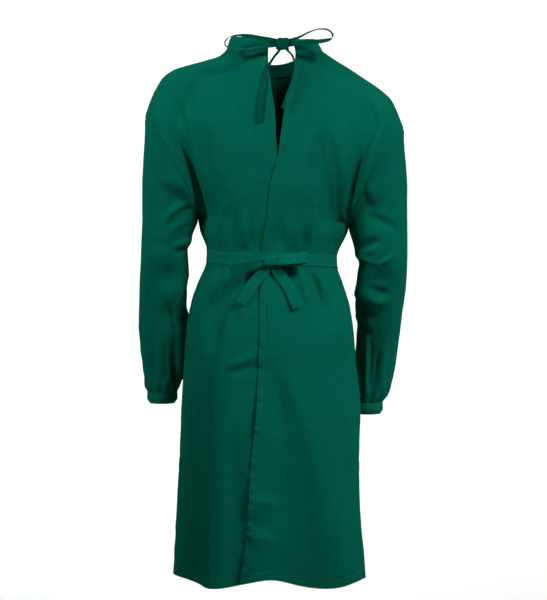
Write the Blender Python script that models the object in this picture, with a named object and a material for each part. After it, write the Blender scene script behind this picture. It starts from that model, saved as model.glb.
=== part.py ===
"""Surgical gown as it is worn, seen from behind at azimuth 0.

+X is the wearer's right, -Y the back, +Z up, in metres. The origin lies in the middle of the
neckline, level with the places where the wearer's shoulders hold the gown up. Every cut piece is
a closed wall of cloth. A panel's surface is a function of two parameters: s runs from the left
side seam (-1) over the centre line (0) to the right side seam (1), and t from the hem (0) over
the armpits (1) to the neckline and the shoulder seams (2).
"""
import bpy
import numpy as np

MM = 0.001
WALL = 2.0 * MM          # thickness of the cloth wall
SEAM = 0.3 * MM          # what each piece gives up at a seam, so two pieces lie about 0.5 mm apart
BAND_WALL = 2.4 * MM     # doubled cloth of the neckband and the cuffs
BELT_WIDTH = 25.0 * MM
BELT_WALL = 1.8 * MM
BELT_CLEAR = 0.7 * MM    # belt's inner side above the panels
BELT_HEIGHT = -0.441     # height of the belt's middle, at the centre line
TAPE_WIDTH = 9.5 * MM    # neck ties
TAPE_WALL = 1.4 * MM
CUFF_HEIGHT = 26.0 * MM
NECKBAND_HEIGHT = 30.0 * MM
OVER_LIFT = 2.5 * MM     # right back's wall above the shared surface where the backs overlap
UNDER_DROP = 1.7 * MM    # left back's wall below it

# Columns of the panels' grids in each half: centre edge to neck side, neck side to side seam
CENTRE_COLUMNS = 7
SIDE_COLUMNS = 8
YOKE_ROWS = 12           # rows between the armpits and the shoulder seam, half a sleeve's points
NECK_SIDE = 0.34         # the s of the neckline's side points
ARC = 1.0                # radians of bow left in a row once it is clear of the armpit

# Rings of the body, mm: height, left and right outline, depth of the back and of the front
RING_COLUMNS = ("height", "left", "right", "back", "front")
RINGS = (
    (-1116, -217, 187, 166, 150),
    (-1040, -213, 187, 163, 149),
    (-950, -208, 184, 158, 147),
    (-850, -202, 183, 154, 145),
    (-746, -198, 185, 149, 142),
    (-671, -193, 176, 144, 138),
    (-595, -187, 170, 140, 134),
    (-531, -176, 159, 131, 127),
    (-488, -161, 145, 122, 119),
    (-455, -146, 134, 114, 113),
    (-425, -142, 133, 111, 112),
    (-400, -145, 136, 113, 114),
    (-378, -152, 147, 117, 118),
    (-345, -161, 163, 122, 122),
)

# Centre lines above the armpits: t, then in mm the back's height and depth and the front's
YOKE = (
    (1.00, -355, 121, -355, 122),
    (1.25, -270, 126, -285, 126),
    (1.50, -180, 124, -207, 122),
    (1.75, -92, 107, -125, 106),
    (1.90, -38, 85, -76, 90),
    (2.00, -8, 69, -46, 77),
)

# Shoulder lines from the neckline's side to the top of the armhole, mm: out from the centre, height
SHOULDERS = {
    1: ((104, 2), (129, -15), (163, -36), (196, -58), (228, -80), (250, -101), (261, -123),
        (269, -144), (275, -163)),
    -1: ((101, 6), (111, -4), (146, -17), (182, -27), (213, -37), (236, -53), (251, -77), (262, -101),
         (269, -122), (273, -140)),
}

# Sleeves from the armhole to the cuff, mm: outer edge and its height, inner edge and its height,
# the middle's depth and half the depth
SLEEVES = {
    1: ((275, -163, 158, -366, -4, 92),
        (279, -225, 161, -380, -3, 88),
        (284, -295, 170, -408, 0, 80),
        (286, -368, 178, -446, 5, 73),
        (286, -440, 179, -482, 12, 67),
        (285, -505, 173, -523, 23, 61),
        (278, -565, 176, -570, 35, 57),
        (271, -627, 175, -628, 48, 52),
        (263, -692, 171, -692, 60, 46),
        (253, -731, 171, -731, 67, 41),
        (239, -754, 173, -754, 70, 32)),
    -1: ((273, -140, 161, -345, -4, 92),
         (277, -208, 165, -364, -3, 88),
         (281, -285, 177, -397, 0, 80),
         (282, -360, 185, -430, 5, 73),
         (285, -432, 184, -470, 12, 67),
         (291, -502, 184, -520, 20, 61),
         (293, -567, 186, -572, 28, 57),
         (290, -628, 190, -629, 35, 52),
         (286, -684, 196, -684, 41, 46),
         (282, -711, 203, -711, 44, 41),
         (276, -728, 211, -728, 46, 32)),
}
ARMHOLE_BOW = 14.0 * MM  # how far the armhole seam curves towards the neck
SLEEVE_RINGS = 19
GATHERED_RINGS = 5       # the last rings, which carry twice the points
CUFF_GATHERS = 12
GATHER_DEPTH = 2.6 * MM

# Free edges of the two backs, mm from the centre line: height, right back, left back
EDGE_COLUMNS = ("height", "right", "left")
EDGES = (
    (-1116, -58, 62),
    (-1040, -47, 58),
    (-950, -39, 52),
    (-850, -36, 47),
    (-746, -29, 42),
    (-595, -20, 32),
    (-440, -20, 26),
    (-350, -14, 20),
    (-262, -3, 13),
    (-228, 7, 7),
    (-190, 12, 4),
    (-128, 22, 1),
    (-87, 32, -5),
    (-42, 42, -11),
    (-8, 45, -12),
)
MEET_HEIGHT = -0.228     # where the slit ends and the overlap starts

# Main folds in the front view, mm: from x, z to x, z, bend, half width, depth (below 0 a trough)
BACK_FOLDS = (
    (206, -108, 160, -336, 14, 17, -9),
    (-204, -84, -166, -318, -10, 15, -9),
    (-158, -60, -176, -160, -8, 14, -5),
    (-150, -165, -146, -330, 0, 16, -6),
    (-118, -160, -110, -398, 6, 18, -7),
    (106, -150, 118, -398, 0, 18, -6),
    (60, -190, 74, -400, 6, 20, 4),
    (76, -470, 126, -590, 8, 18, -8),
    (104, -480, 150, -640, 10, 20, 6),
    (-96, -480, -128, -640, -6, 20, -7),
    (-60, -560, -110, -900, -10, 28, 6),
    (-20, -640, 30, -800, 0, 32, -5),
    (96, -700, 120, -1110, 8, 30, 7),
    (56, -780, 70, -1110, 0, 34, -6),
    (-150, -700, -160, -1110, 0, 28, -6),
    (-108, -860, -112, -1110, 4, 26, 7),
)
FRONT_FOLDS = (
    (190, -112, 150, -336, 12, 17, -8),
    (-190, -90, -152, -318, -12, 17, -8),
    (-96, -180, -92, -398, 4, 22, -6),
    (88, -170, 96, -398, -4, 22, -6),
    (6, -230, -14, -400, 4, 24, 4),
    (-74, -480, -112, -700, -6, 24, -7),
    (70, -480, 104, -740, 8, 24, -7),
    (0, -500, 12, -900, 6, 30, 6),
    (-132, -640, -152, -1110, 0, 28, 6),
    (-56, -740, -66, -1110, 4, 30, -7),
    (58, -700, 50, -1110, -6, 30, 6),
    (128, -720, 136, -1110, 0, 28, -6),
)
# Folds of the sleeves: round the sleeve (0 outer, 0.25 back, 0.5 inner) and along it at both ends,
# half width, depth in mm
SLEEVE_FOLDS = (
    (0.40, 0.06, 0.20, 0.22, 0.050, -6),
    (0.44, 0.40, 0.14, 0.45, 0.045, -7),
    (0.42, 0.47, 0.20, 0.52, 0.040, 5),
    (0.46, 0.56, 0.18, 0.60, 0.045, -7),
    (0.30, 0.66, 0.24, 0.92, 0.045, -5),
    (0.84, 0.36, 0.60, 0.44, 0.050, -6),
    (0.88, 0.54, 0.64, 0.58, 0.050, -6),
    (0.72, 0.66, 0.76, 0.92, 0.050, -5),
)

# Bows: middle lines of their stretches, x, y, z in mm, and the way the ribbon's width points
NECK_KNOT = (19, -79, 11)
NECK_KNOT_SIZE = (25, 12, 21)
NECK_BOW = {
    "neck_tie_left": (
        (-10.2, -65.0, 8.5, 0.0, 0.2, 1.0), (-3, -69.5, 10, 0.0, 0.1, 1.0), (6.0, -75.5, 11, 0.0, 0.0, 1.0)),
    "neck_tie_right": (
        (40.5, -57.9, 8, -0.2, 0.3, 1.0), (37.5, -68, 9.5, 0.0, 0.1, 1.0), (32.2, -75.5, 11, 0.0, 0.0, 1.0)),
    "neck_loop_left": (
        (6.0, -82, 16, 0.0, 0.2, 1.0), (-24, -84, 23, 0.1, 0.2, 1.0), (-50, -85, 27, 0.0, 0.3, 1.0),
        (-75, -82, 28, 0.0, 0.8, 0.6), (-93, -78, 22, 0.1, 1.0, 0.2), (-102, -75, 12, 0.2, 1.0, 0.1),
        (-97, -76, 2, 0.2, 1.0, 0.2), (-80, -80, -3, 0.1, 1.0, 0.4), (-56, -83, -3, 0.0, 1.0, 0.5),
        (-32, -84, 1, 0.0, 1.0, 0.7), (6.0, -82, 6, 0.0, 0.2, 1.0)),
    "neck_loop_right": (
        (32.3, -82, 16, 0.0, 0.2, 1.0), (51, -84, 23, -0.3, 1.0, 0.5),
        (71, -85, 32, -0.2, 1.0, 0.2), (93, -84, 39, 0.0, 1.0, 0.1), (111, -83, 38, 0.0, 1.0, 0.2),
        (122, -83, 28, 0.2, 1.0, 0.3), (117, -84, 18, 0.1, 0.8, 0.7), (98, -86, 13, 0.0, 0.3, 1.0),
        (72, -87, 11, 0.0, 0.1, 1.0), (51, -86, 9, 0.0, 0.2, 1.0), (32.3, -82, 6, 0.0, 0.2, 1.0)),
    "neck_tail_left": (
        (11, -80, 0.1, 1.0, 0.1, 0.0), (9, -81, -7, 1.0, 0.2, 0.1), (-2, -84.5, -22, 1.0, 0.2, 0.3),
        (-13, -90, -42, 1.0, 0.1, 0.2),
        (-20, -99.5, -66, 1.0, 0.1, 0.2), (-26, -109, -90, 1.0, 0.1, 0.2),
        (-31, -118, -120, 1.0, 0.1, 0.1), (-33, -122, -150, 1.0, 0.1, 0.0)),
    "neck_tail_right": (
        (27, -80, 0.1, 1.0, 0.2, 0.0), (29, -81, -6, 0.8, 0.6, 0.0), (39, -85, -18, 0.3, 1.0, 0.2),
        (43, -87, -39, 0.1, 1.0, 0.1),
        (41, -94, -60, 0.1, 1.0, 0.0), (36, -105, -80, 0.1, 1.0, 0.0),
        (27, -117, -107, 0.2, 1.0, 0.0), (19, -122, -129, 0.3, 1.0, 0.0)),
}
WAIST_KNOT = (-7, -127, -444)
WAIST_KNOT_SIZE = (30, 16, 23)
WAIST_BOW = {
    "waist_loop_right": (
        (8.6, -132.3, -443.5, 0.0, 0.0, 1.0), (25, -136.8, -442, 0.0, 0.0, 1.0),
        (45, -136.8, -440, 0.1, 0.0, 1.0), (62, -134.8, -438, 0.1, 0.0, 1.0),
        (69, -130.8, -438, 0.1, 0.0, 1.0), (62, -127.3, -438, 0.1, 0.0, 1.0),
        (45, -126.3, -440, 0.1, 0.0, 1.0), (25, -126.3, -442, 0.0, 0.0, 1.0),
        (8.6, -126.6, -443.5, 0.0, 0.0, 1.0)),
    "waist_loop_left": (
        (-23.8, -132.3, -444.5, 0.0, 0.0, 1.0), (-40, -137.8, -450, -0.3, 0.2, 1.0),
        (-60, -139.8, -456, -0.3, 0.1, 1.0), (-80, -137.8, -463, -0.3, 0.1, 1.0),
        (-91, -132.8, -465, -0.3, 0.0, 1.0), (-80, -127.8, -461, -0.3, 0.0, 1.0),
        (-60, -126.3, -453, -0.3, 0.0, 1.0), (-40, -126.3, -447, -0.2, 0.0, 1.0),
        (-23.8, -126.6, -444.5, 0.0, 0.0, 1.0)),
    "waist_tail_left": (
        (-18.8, -123, -456.0, 1.0, 0.0, 0.0), (-19, -123.1, -460, 1.0, 0.0, 0.0),
        (-21.5, -123.6, -464.5, 1.0, 0.0, -0.1), (-32, -125, -475, 0.9, 0.0, -0.4),
        (-44, -127.5, -490, 0.9, 0.0, -0.4), (-57, -129, -510, 0.9, 0.0, -0.4),
        (-69, -131, -527, 0.9, 0.0, -0.4)),
    "waist_tail_right": (
        (5.4, -123, -456.0, 1.0, 0.0, 0.0), (5.8, -123.2, -460, 1.0, 0.0, 0.0),
        (9, -124, -465, 1.0, 0.0, 0.1), (20, -126.5, -479, 1.0, 0.0, 0.3),
        (33, -131, -500, 1.0, 0.0, 0.3), (42, -135, -519, 1.0, 0.0, 0.3),
        (50, -138, -535, 1.0, 0.0, 0.3)),
}

GREEN = (0.000, 0.105, 0.070, 1.0)
GREEN_BAND = (0.000, 0.118, 0.080, 1.0)
GREEN_TAPE = (0.000, 0.092, 0.064, 1.0)


def smooth(knots, values, x):
    """Cubic curve through the values, its slope at each knot that of the neighbours' chord."""
    knots = np.asarray(knots, float)
    values = np.asarray(values, float)
    x = np.clip(x, knots[0], knots[-1])
    slopes = np.gradient(values, knots, axis=0)
    i = np.clip(np.searchsorted(knots, x, side="right") - 1, 0, len(knots) - 2)
    step = knots[i + 1] - knots[i]
    f = (x - knots[i]) / step
    if values.ndim > 1:
        f = f[..., None]
        step = step[..., None]
    rise = f * f * (3 - 2 * f)
    start = f * (1 - f) ** 2 * step
    end = f * f * (f - 1) * step
    return values[i] * (1 - rise) + values[i + 1] * rise + slopes[i] * start + slopes[i + 1] * end


def column(table, columns, name, x):
    """One named column of a table whose first column is x, both in mm, read at x in metres."""
    rows = np.asarray(table, float) * MM
    return smooth(rows[:, 0], rows[:, columns.index(name)], x)


def ease(x):
    """0 below 0, 1 above 1 and a smooth step between."""
    x = np.clip(x, 0.0, 1.0)
    return x * x * (3 - 2 * x)


def unit(vectors):
    """Each vector at length 1."""
    return vectors / np.maximum(np.linalg.norm(vectors, axis=-1, keepdims=True), 1e-12)


def sleeve_ring(side, along):
    """Outer and inner point, middle's depth and half depth of a sleeve at 0 to 1 along it."""
    rows = np.asarray(SLEEVES[side], float) * MM
    knots = np.linspace(0, 1, len(rows))
    return smooth(knots, rows, np.asarray(along, float))


def sleeve_point(side, turn, along):
    """Ellipse between a ring's outer and inner point, bowed towards the neck at the armhole."""
    ring = sleeve_ring(side, along)
    outer, outer_z, inner, inner_z, middle, depth = np.moveaxis(ring, -1, 0)
    angle = 2 * np.pi * turn
    wide = np.cos(angle)
    bow = ARMHOLE_BOW * np.sin(angle) ** 2 * (1 - ease(along / 0.35))
    x = (outer + inner) / 2 + (outer - inner) / 2 * wide - bow * 0.866
    z = (outer_z + inner_z) / 2 + (outer_z - inner_z) / 2 * wide + bow * 0.5
    y = middle - depth * np.sin(angle)
    return np.stack([side * x, y, z], axis=-1)


def armhole(side, face, t):
    """The body's edge at the armhole for t from 1 to 2: the sleeve's first ring."""
    turn = 0.5 - 0.5 * (t - 1)
    turn = np.where(face < 0, turn, 1 - turn)
    return sleeve_point(side, turn, np.zeros_like(turn))


def armhole_way(side, turn):
    """Way of the wall's thickness at the armhole: out at the top, down at the armpit."""
    wide = np.cos(2 * np.pi * turn)
    out = np.clip(wide, 0, 1)
    return unit(np.stack([side * out, -np.sin(2 * np.pi * turn), 0.2 * out + np.clip(wide, -1, 0)],
                         axis=-1))


def body_ring(face, s, t):
    """A point below the armpits: an ellipse's quarter from the centre line to the side seam."""
    armpit = np.where(s < 0, sleeve_ring(-1, 0.0)[3], sleeve_ring(1, 0.0)[3])
    top = YOKE[0][1] * MM + (armpit - YOKE[0][1] * MM) * s * s
    hem = RINGS[0][0] * MM + hem_rise(face, s)
    z = hem + (top - hem) * t
    left, right = (column(RINGS, RING_COLUMNS, name, z) for name in ("left", "right"))
    depth = column(RINGS, RING_COLUMNS, "back" if face < 0 else "front", z)
    middle = (left + right) / 2
    half = (right - left) / 2
    edge = np.where(s < 0, sleeve_point(-1, 0.5, 0.0)[0], sleeve_point(1, 0.5, 0.0)[0])
    half = half + (np.abs(edge - middle) - half) * ease((t - 0.9) / 0.1)
    x = middle + half * np.sin(s * np.pi / 2)
    y = face * depth * np.cos(s * np.pi / 2) + sleeve_point(1, 0.5, 0.0)[1] * s * s * ease(t)
    return np.stack([x, y, z], axis=-1)


def hem_rise(face, s):
    """How far the hem is lifted: at the centre of the back, where the two edges lap."""
    lift = np.where(face < 0, 15.0 * MM, 5.0 * MM)
    return lift * np.exp(-(s / 0.22) ** 2) + 3.0 * MM * np.cos(s * 9.0)


def top_line(side, face, s):
    """The neckline up to the neck's side, then the shoulder seam to the armhole, at t 2."""
    a = np.clip(s / NECK_SIDE, 0, 1) * np.pi / 2
    centre = np.asarray(YOKE[-1], float) * MM
    centre_z, depth = (centre[1], centre[2]) if face < 0 else (centre[3], centre[4])
    rows = np.asarray(SHOULDERS[side], float) * MM
    neck = np.stack([rows[0, 0] * np.sin(a), face * depth * np.cos(a),
                     rows[0, 1] + (centre_z - rows[0, 1]) * np.cos(a) ** 1.5], axis=-1)
    steps = np.r_[0, np.cumsum(np.hypot(*np.diff(rows, axis=0).T))]
    along = smooth(steps / steps[-1], rows, np.clip((s - NECK_SIDE) / (1 - NECK_SIDE), 0, 1))
    end_y = sleeve_point(side, 0.0, 0.0)[1]
    share = np.clip((s - NECK_SIDE) / (1 - NECK_SIDE), 0, 1)
    seam = np.stack([along[..., 0], end_y * share, along[..., 1]], axis=-1)
    line = np.where((s < NECK_SIDE)[..., None], neck, seam)
    line[..., 0] *= side
    return line


def yoke_row(side, face, s, t):
    """An arc from the centre line to the armhole; s runs 0 to 1 from the centre."""
    centre = smooth([row[0] for row in YOKE], np.asarray(YOKE, float)[:, 1:] * MM, t)
    zc, yc = (centre[..., 0], centre[..., 1]) if face < 0 else (centre[..., 2], centre[..., 3])
    middle = RINGS[-1][1] + RINGS[-1][2]
    xc = middle / 2 * MM * (1 - ease(t - 1))
    end = armhole(side, face, t)
    arc = np.pi / 2 + (ARC - np.pi / 2) * ease((t - 1) / 0.5)
    x = xc + (end[..., 0] - xc) * np.sin(s * arc) / np.sin(arc)
    y = face * yc + (end[..., 1] - face * yc) * (1 - np.cos(s * arc)) / (1 - np.cos(arc))
    z = zc + (end[..., 2] - zc) * s * s
    return np.stack([x, y, z], axis=-1)


def yoke(face, s, t):
    """A point above the armpits: the arc, bent at the top into neckline and shoulder seam.

    The bend's soft part is a polynomial through its values at a third and two thirds of the row.
    It grows with the cube of the height, and what is left, the neck's corner, only near the top.
    """
    points = np.zeros(s.shape + (3,))
    height = np.clip(t - 1, 0, 1)[..., None]
    near = np.abs(s)
    for side in (-1, 1):
        third, two_thirds, bend = (
            top_line(side, face, x) - yoke_row(side, face, x, np.full_like(t, 2.0))
            for x in (np.full_like(near, 1 / 3), np.full_like(near, 2 / 3), near))
        share = near[..., None]
        soft = share ** 2 * (1 - share) * ((27 - 40.5 * share) * third
                                           + (20.25 * share - 6.75) * two_thirds)
        half = yoke_row(side, face, near, t) + soft * height ** 3 + (bend - soft) * height ** 9
        points = np.where((s * side >= 0)[..., None], half, points)
    return points


def body_point(face, s, t):
    """The gown's outer surface, back (face -1) or front (face 1), before folds."""
    s, t = np.broadcast_arrays(np.asarray(s, float), np.asarray(t, float))
    lower = body_ring(face, s, np.clip(t, 0, 1))
    upper = yoke(face, s, np.clip(t, 1, 2))
    return np.where((t <= 1)[..., None], lower, upper)


def grid_normals(points, outward):
    """Unit normals of a grid of points, turned to the outward side."""
    down = np.gradient(points, axis=0)
    across = np.gradient(points, axis=1)
    return outward * unit(np.cross(across, down))


def fold_height(points, table):
    """Sum of the folds at the points: each a soft ridge or trough along a bent line in X, Z."""
    total = np.zeros(points.shape[:-1])
    flat = points[..., (0, 2)]
    for x1, z1, x2, z2, bend, width, depth in np.asarray(table, float) * MM:
        start = np.array([x1, z1])
        run = np.array([x2, z2]) - start
        length = np.hypot(*run)
        across = np.array([-run[1], run[0]]) / length
        share = np.clip((flat - start) @ run / length ** 2, 0, 1)
        middle = start + share[..., None] * run + (bend * 4 * share * (1 - share))[..., None] * across
        gap = np.linalg.norm(flat - middle, axis=-1)
        taper = np.sin(np.pi * np.clip(share, 0.02, 0.98)) ** 0.6
        if z2 < RINGS[0][0] * MM + 0.03:
            taper = np.sin(np.pi / 2 * np.clip(share, 0.02, 1)) ** 0.6
        total += depth * taper * np.exp(-(gap / width) ** 2)
    return total


def belt_levels():
    """The t of the belt's lower edge, middle and upper edge."""
    hem, top = RINGS[0][0] * MM, YOKE[0][1] * MM
    heights = BELT_HEIGHT + BELT_WIDTH / 2 * np.array([-1, 0, 1])
    return (heights - hem) / (top - hem)


def held_flat(t, s):
    """Share of the folds that is left: none under the belt and at seams."""
    low, middle, high = belt_levels()
    belt = ease((np.abs(t - middle) - 1.1 * (high - middle)) / 0.09)
    side = ease((1 - np.abs(s)) / 0.16)
    top = ease((2 - t) / 0.18)
    return belt * side * top


def wall(outer, normals, thickness):
    """Inner points of a wall: the outer points moved in along the normals."""
    return outer - normals * thickness


def draw_back(grid, row, step, ways):
    """Move a grid's rim row away from its seam, square to the wall's thickness."""
    inward = grid[step] - grid[row]
    inward = inward - np.sum(inward * ways, axis=-1, keepdims=True) * ways
    grid[row] = grid[row] + unit(inward) * SEAM


def finish_object(name, vertices, faces, colour, roughness=0.75):
    """A mesh object with its own plain cloth material."""
    mesh = bpy.data.meshes.new(name)
    mesh.from_pydata([tuple(v) for v in vertices], [], [tuple(int(i) for i in f) for f in faces])
    mesh.validate()
    material = bpy.data.materials.new(name + "_cloth")
    material.use_nodes = True
    shader = material.node_tree.nodes["Principled BSDF"]
    shader.inputs["Base Color"].default_value = colour
    shader.inputs["Roughness"].default_value = roughness
    shader.inputs["Metallic"].default_value = 0.0
    mesh.materials.append(material)
    mesh.shade_smooth()
    mesh.set_sharp_from_angle(angle=np.radians(40))
    thing = bpy.data.objects.new(name, mesh)
    bpy.context.scene.collection.objects.link(thing)
    return thing


def quads(rows, columns, start, closed=False):
    """Faces of a grid whose points are numbered row by row from start."""
    number = start + np.arange(rows * columns).reshape(rows, columns)
    if closed:
        number = np.c_[number, number[:, :1]]
    a, b = number[:-1, :-1], number[:-1, 1:]
    c, d = number[1:, 1:], number[1:, :-1]
    return np.stack([a, b, c, d], axis=-1).reshape(-1, 4)


def sheet_solid(name, outer, inner, colour, flip):
    """Closed wall from an outer and an inner open grid, their four rims joined."""
    rows, columns = outer.shape[:2]
    count = rows * columns
    number = np.arange(count).reshape(rows, columns)
    rim = np.r_[number[0, :-1], number[:-1, -1], number[-1, :0:-1], number[:0:-1, 0]]
    after = np.roll(rim, -1)
    faces = [quads(rows, columns, 0), quads(rows, columns, count)[:, ::-1],
             np.stack([after, rim, rim + count, after + count], axis=-1)]
    faces = np.concatenate(faces)
    if flip:
        faces = faces[:, ::-1]
    points = np.concatenate([outer.reshape(-1, 3), inner.reshape(-1, 3)])
    return finish_object(name, points, faces, colour)


def half_columns(centre, columns=CENTRE_COLUMNS):
    """The s of the columns in one half, from its centre edge to the side seam, a row each."""
    centre = np.asarray(centre, float)[:, None]
    first = centre + (NECK_SIDE - centre) * np.linspace(0, 1, columns + 1)[None, :]
    second = np.linspace(NECK_SIDE, 1, SIDE_COLUMNS + 1)[1:]
    return np.concatenate([first, np.broadcast_to(second, (len(centre), len(second)))], axis=1)


def body_levels():
    """The t of the grids' rows: even steps, with rows at both edges of the belt."""
    low, middle, high = belt_levels()
    skirt = np.linspace(0, low, 16)
    waist = np.linspace(high, 1, 5)
    return np.r_[skirt, middle, waist, 1 + np.arange(1, YOKE_ROWS + 1) / YOKE_ROWS]


def edge_share(side, t):
    """The s of a back's free edge at the levels t, from its distance to the centre line."""
    name = "right" if side > 0 else "left"
    centre = body_point(-1, np.zeros_like(t), t)
    away = column(EDGES, EDGE_COLUMNS, name, centre[:, 2])
    probe = body_point(-1, np.full_like(t, 0.1), t)
    return away / (probe[:, 0] - centre[:, 0]) * 0.1


def overlap_lift(side, s, points):
    """How far a back's wall leaves the shared surface where the backs lap."""
    below = ease((MEET_HEIGHT + 0.07 - points[..., 2]) / 0.05)
    near = 1 - ease((np.abs(s) - 0.24) / 0.26)
    return (OVER_LIFT if side > 0 else -UNDER_DROP) * near * below


def back_surface(side, s, t):
    """Outer points and normals of one back, folded and lifted at the overlap."""
    base = body_point(-1, s, t)
    normals = grid_normals(base, side)
    normals[:, np.abs(s[0]) > 0.999] = (side, 0, 0)
    height = fold_height(base, BACK_FOLDS) * held_flat(t, s)
    height = height + overlap_lift(side, s, base)
    return base + normals * height[..., None], normals


def seam_ways(side, t):
    """Way of the wall's thickness along the side seam and the armhole of the back."""
    turn = 0.5 - 0.5 * np.clip(t - 1, 0, 1)
    ways = armhole_way(side, turn)
    ways[t < 0.999] = (side, 0, 0)
    return ways


def shoulder_ways(points):
    """Way of the wall's thickness along the neckline and the shoulder seam: upwards."""
    along = np.gradient(points, axis=0)
    up = np.array([0.0, 0.0, 1.0]) - unit(along) * unit(along)[:, 2:]
    return unit(up)


def make_back(side):
    """One back panel, from its free centre edge to the side seam and the armhole."""
    levels = body_levels()
    s = half_columns(edge_share(side, levels) * side) * side
    t = np.broadcast_to(levels[:, None], s.shape)
    outer, normals = back_surface(side, s, t)
    normals[:, -1] = seam_ways(side, levels)
    normals[-1] = shoulder_ways(outer[-1])
    normals[-1, :CENTRE_COLUMNS + 1] = neck_ways(outer[-1, :CENTRE_COLUMNS + 1])
    normals[-1, -1] = armhole_way(side, np.zeros(1))[0]
    inner = wall(outer, normals, WALL)
    for grid in (outer, inner):
        draw_back(grid, -1, -2, normals[-1])
        draw_back(grid.swapaxes(0, 1), -1, -2, normals[:, -1])
    name = "back_right" if side > 0 else "back_left"
    sheet_solid(name, outer, inner, GREEN, side < 0)


def neck_ways(points):
    """Way of the wall's thickness at the neckline: outwards and up, halfway to the neckband."""
    out = points * np.array([1.0, 1.0, 0.0])
    return unit(unit(out) + np.array([0.0, 0.0, 0.8]))


def make_front():
    """The front panel, from side seam to side seam."""
    levels = body_levels()
    half = half_columns(np.zeros(len(levels)))
    s = np.concatenate([-half[:, :0:-1], half], axis=1)
    t = np.broadcast_to(levels[:, None], s.shape)
    base = body_point(1, s, t)
    normals = grid_normals(base, -1)
    height = fold_height(base, FRONT_FOLDS) * held_flat(t, s)
    outer = base + normals * height[..., None]
    for side, edge in ((-1, 0), (1, -1)):
        ways = seam_ways(side, levels)
        ways[:, 1] *= -1
        normals[:, edge] = ways
    normals[-1] = shoulder_ways(outer[-1])
    first = SIDE_COLUMNS
    normals[-1, first:-first] = neck_ways(outer[-1, first:-first])
    for side, edge in ((-1, 0), (1, -1)):
        normals[-1, edge] = armhole_way(side, np.zeros(1))[0]
    inner = wall(outer, normals, WALL)
    for grid in (outer, inner):
        draw_back(grid, -1, -2, normals[-1])
        draw_back(grid.swapaxes(0, 1), 0, 1, normals[:, 0])
        draw_back(grid.swapaxes(0, 1), -1, -2, normals[:, -1])
    sheet_solid("front_panel", outer, inner, GREEN, True)


def tube_solid(name, outer, inner, colour, flip):
    """Closed wall from the rings of a tube, whose last rings may carry twice the points."""
    faces = []
    start = [0]
    for ring in outer:
        start.append(start[-1] + len(ring))
    count = start[-1]
    for i in range(len(outer) - 1):
        few, many = len(outer[i]), len(outer[i + 1])
        a = start[i] + np.arange(few)
        b = start[i] + (np.arange(few) + 1) % few
        if few == many:
            skin = np.stack([a, b, b - start[i] + start[i + 1], a - start[i] + start[i + 1]], -1)
            skins = [skin.tolist()]
        else:
            c = start[i + 1] + 2 * np.arange(few)
            d = c + 1
            e = start[i + 1] + (2 * np.arange(few) + 2) % many
            skins = [np.stack(three, -1).tolist() for three in ((a, d, c), (a, b, d), (b, e, d))]
        for skin in skins:
            faces += skin
            faces += [[n + count for n in reversed(face)] for face in skin]
    for i, way in ((0, 1), (len(outer) - 1, -1)):
        a = start[i] + np.arange(len(outer[i]))
        b = np.roll(a, -1)
        rim = np.stack([b, a, a + count, b + count], -1)
        faces += rim[:, ::way].tolist()
    if flip:
        faces = [face[::-1] for face in faces]
    points = np.concatenate(list(outer) + list(inner))
    return finish_object(name, points, faces, colour)


def sleeve_folds(turn, along):
    """Sum of a sleeve's folds: soft ridges or troughs along straight lines on the unrolled tube."""
    total = np.zeros(np.broadcast(turn, along).shape)
    for round1, along1, round2, along2, width, depth in SLEEVE_FOLDS:
        length = np.hypot(round2 - round1, along2 - along1)
        share = ((turn - round1) * (round2 - round1) + (along - along1) * (along2 - along1))
        share = np.clip(share / length ** 2, 0, 1)
        gap = np.hypot(turn - round1 - share * (round2 - round1),
                       along - along1 - share * (along2 - along1))
        taper = np.sin(np.pi * np.clip(share, 0.05, 0.95)) ** 0.6
        total = total + depth * MM * taper * np.exp(-(gap / width) ** 2)
    return total


def gathers(turn, along):
    """Waves round the sleeve that start above the cuff and narrow into its seam."""
    grow = ease((along - 0.72) / 0.2) * (1 - 0.45 * ease((along - 0.93) / 0.07))
    return GATHER_DEPTH * grow * np.cos(2 * np.pi * CUFF_GATHERS * turn + np.pi)


def body_outline(points, side):
    """The body's outer x at each point's height and depth."""
    z = points[..., 2]
    left, right = (column(RINGS, RING_COLUMNS, name, z) for name in ("left", "right"))
    back, front = (column(RINGS, RING_COLUMNS, name, z) for name in ("back", "front"))
    depth = np.where(points[..., 1] < 0, back, front)
    share = np.sqrt(np.clip(1 - (points[..., 1] / depth) ** 2, 0, 1))
    return side * ((left + right) / 2 + side * (right - left) / 2 * share)


def keep_clear(points, side, gap):
    """Move points out sideways where they would come nearer to the body than the gap."""
    low = ease((-0.40 - points[..., 2]) / 0.03)
    limit = body_outline(points, side) + gap * low
    x = side * points[..., 0]
    points[..., 0] = side * np.where(low > 0, np.maximum(x, limit), x)
    return points


def sleeve_surface(side, turn, along):
    """Outer points of a sleeve with its folds and gathers."""
    turn, along = np.broadcast_arrays(turn, along)
    base = sleeve_point(side, turn, along)
    ahead = sleeve_point(side, turn + 0.01, along) - sleeve_point(side, turn - 0.01, along)
    down = (sleeve_point(side, turn, np.clip(along + 0.01, 0, 1))
            - sleeve_point(side, turn, np.clip(along - 0.01, 0, 1)))
    normals = side * unit(np.cross(ahead, down))
    fade = ease(along / 0.08) * ease((1 - along) / 0.06)
    height = sleeve_folds(turn, along) * fade + gathers(turn, along)
    return base + normals * height[..., None], normals


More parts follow.
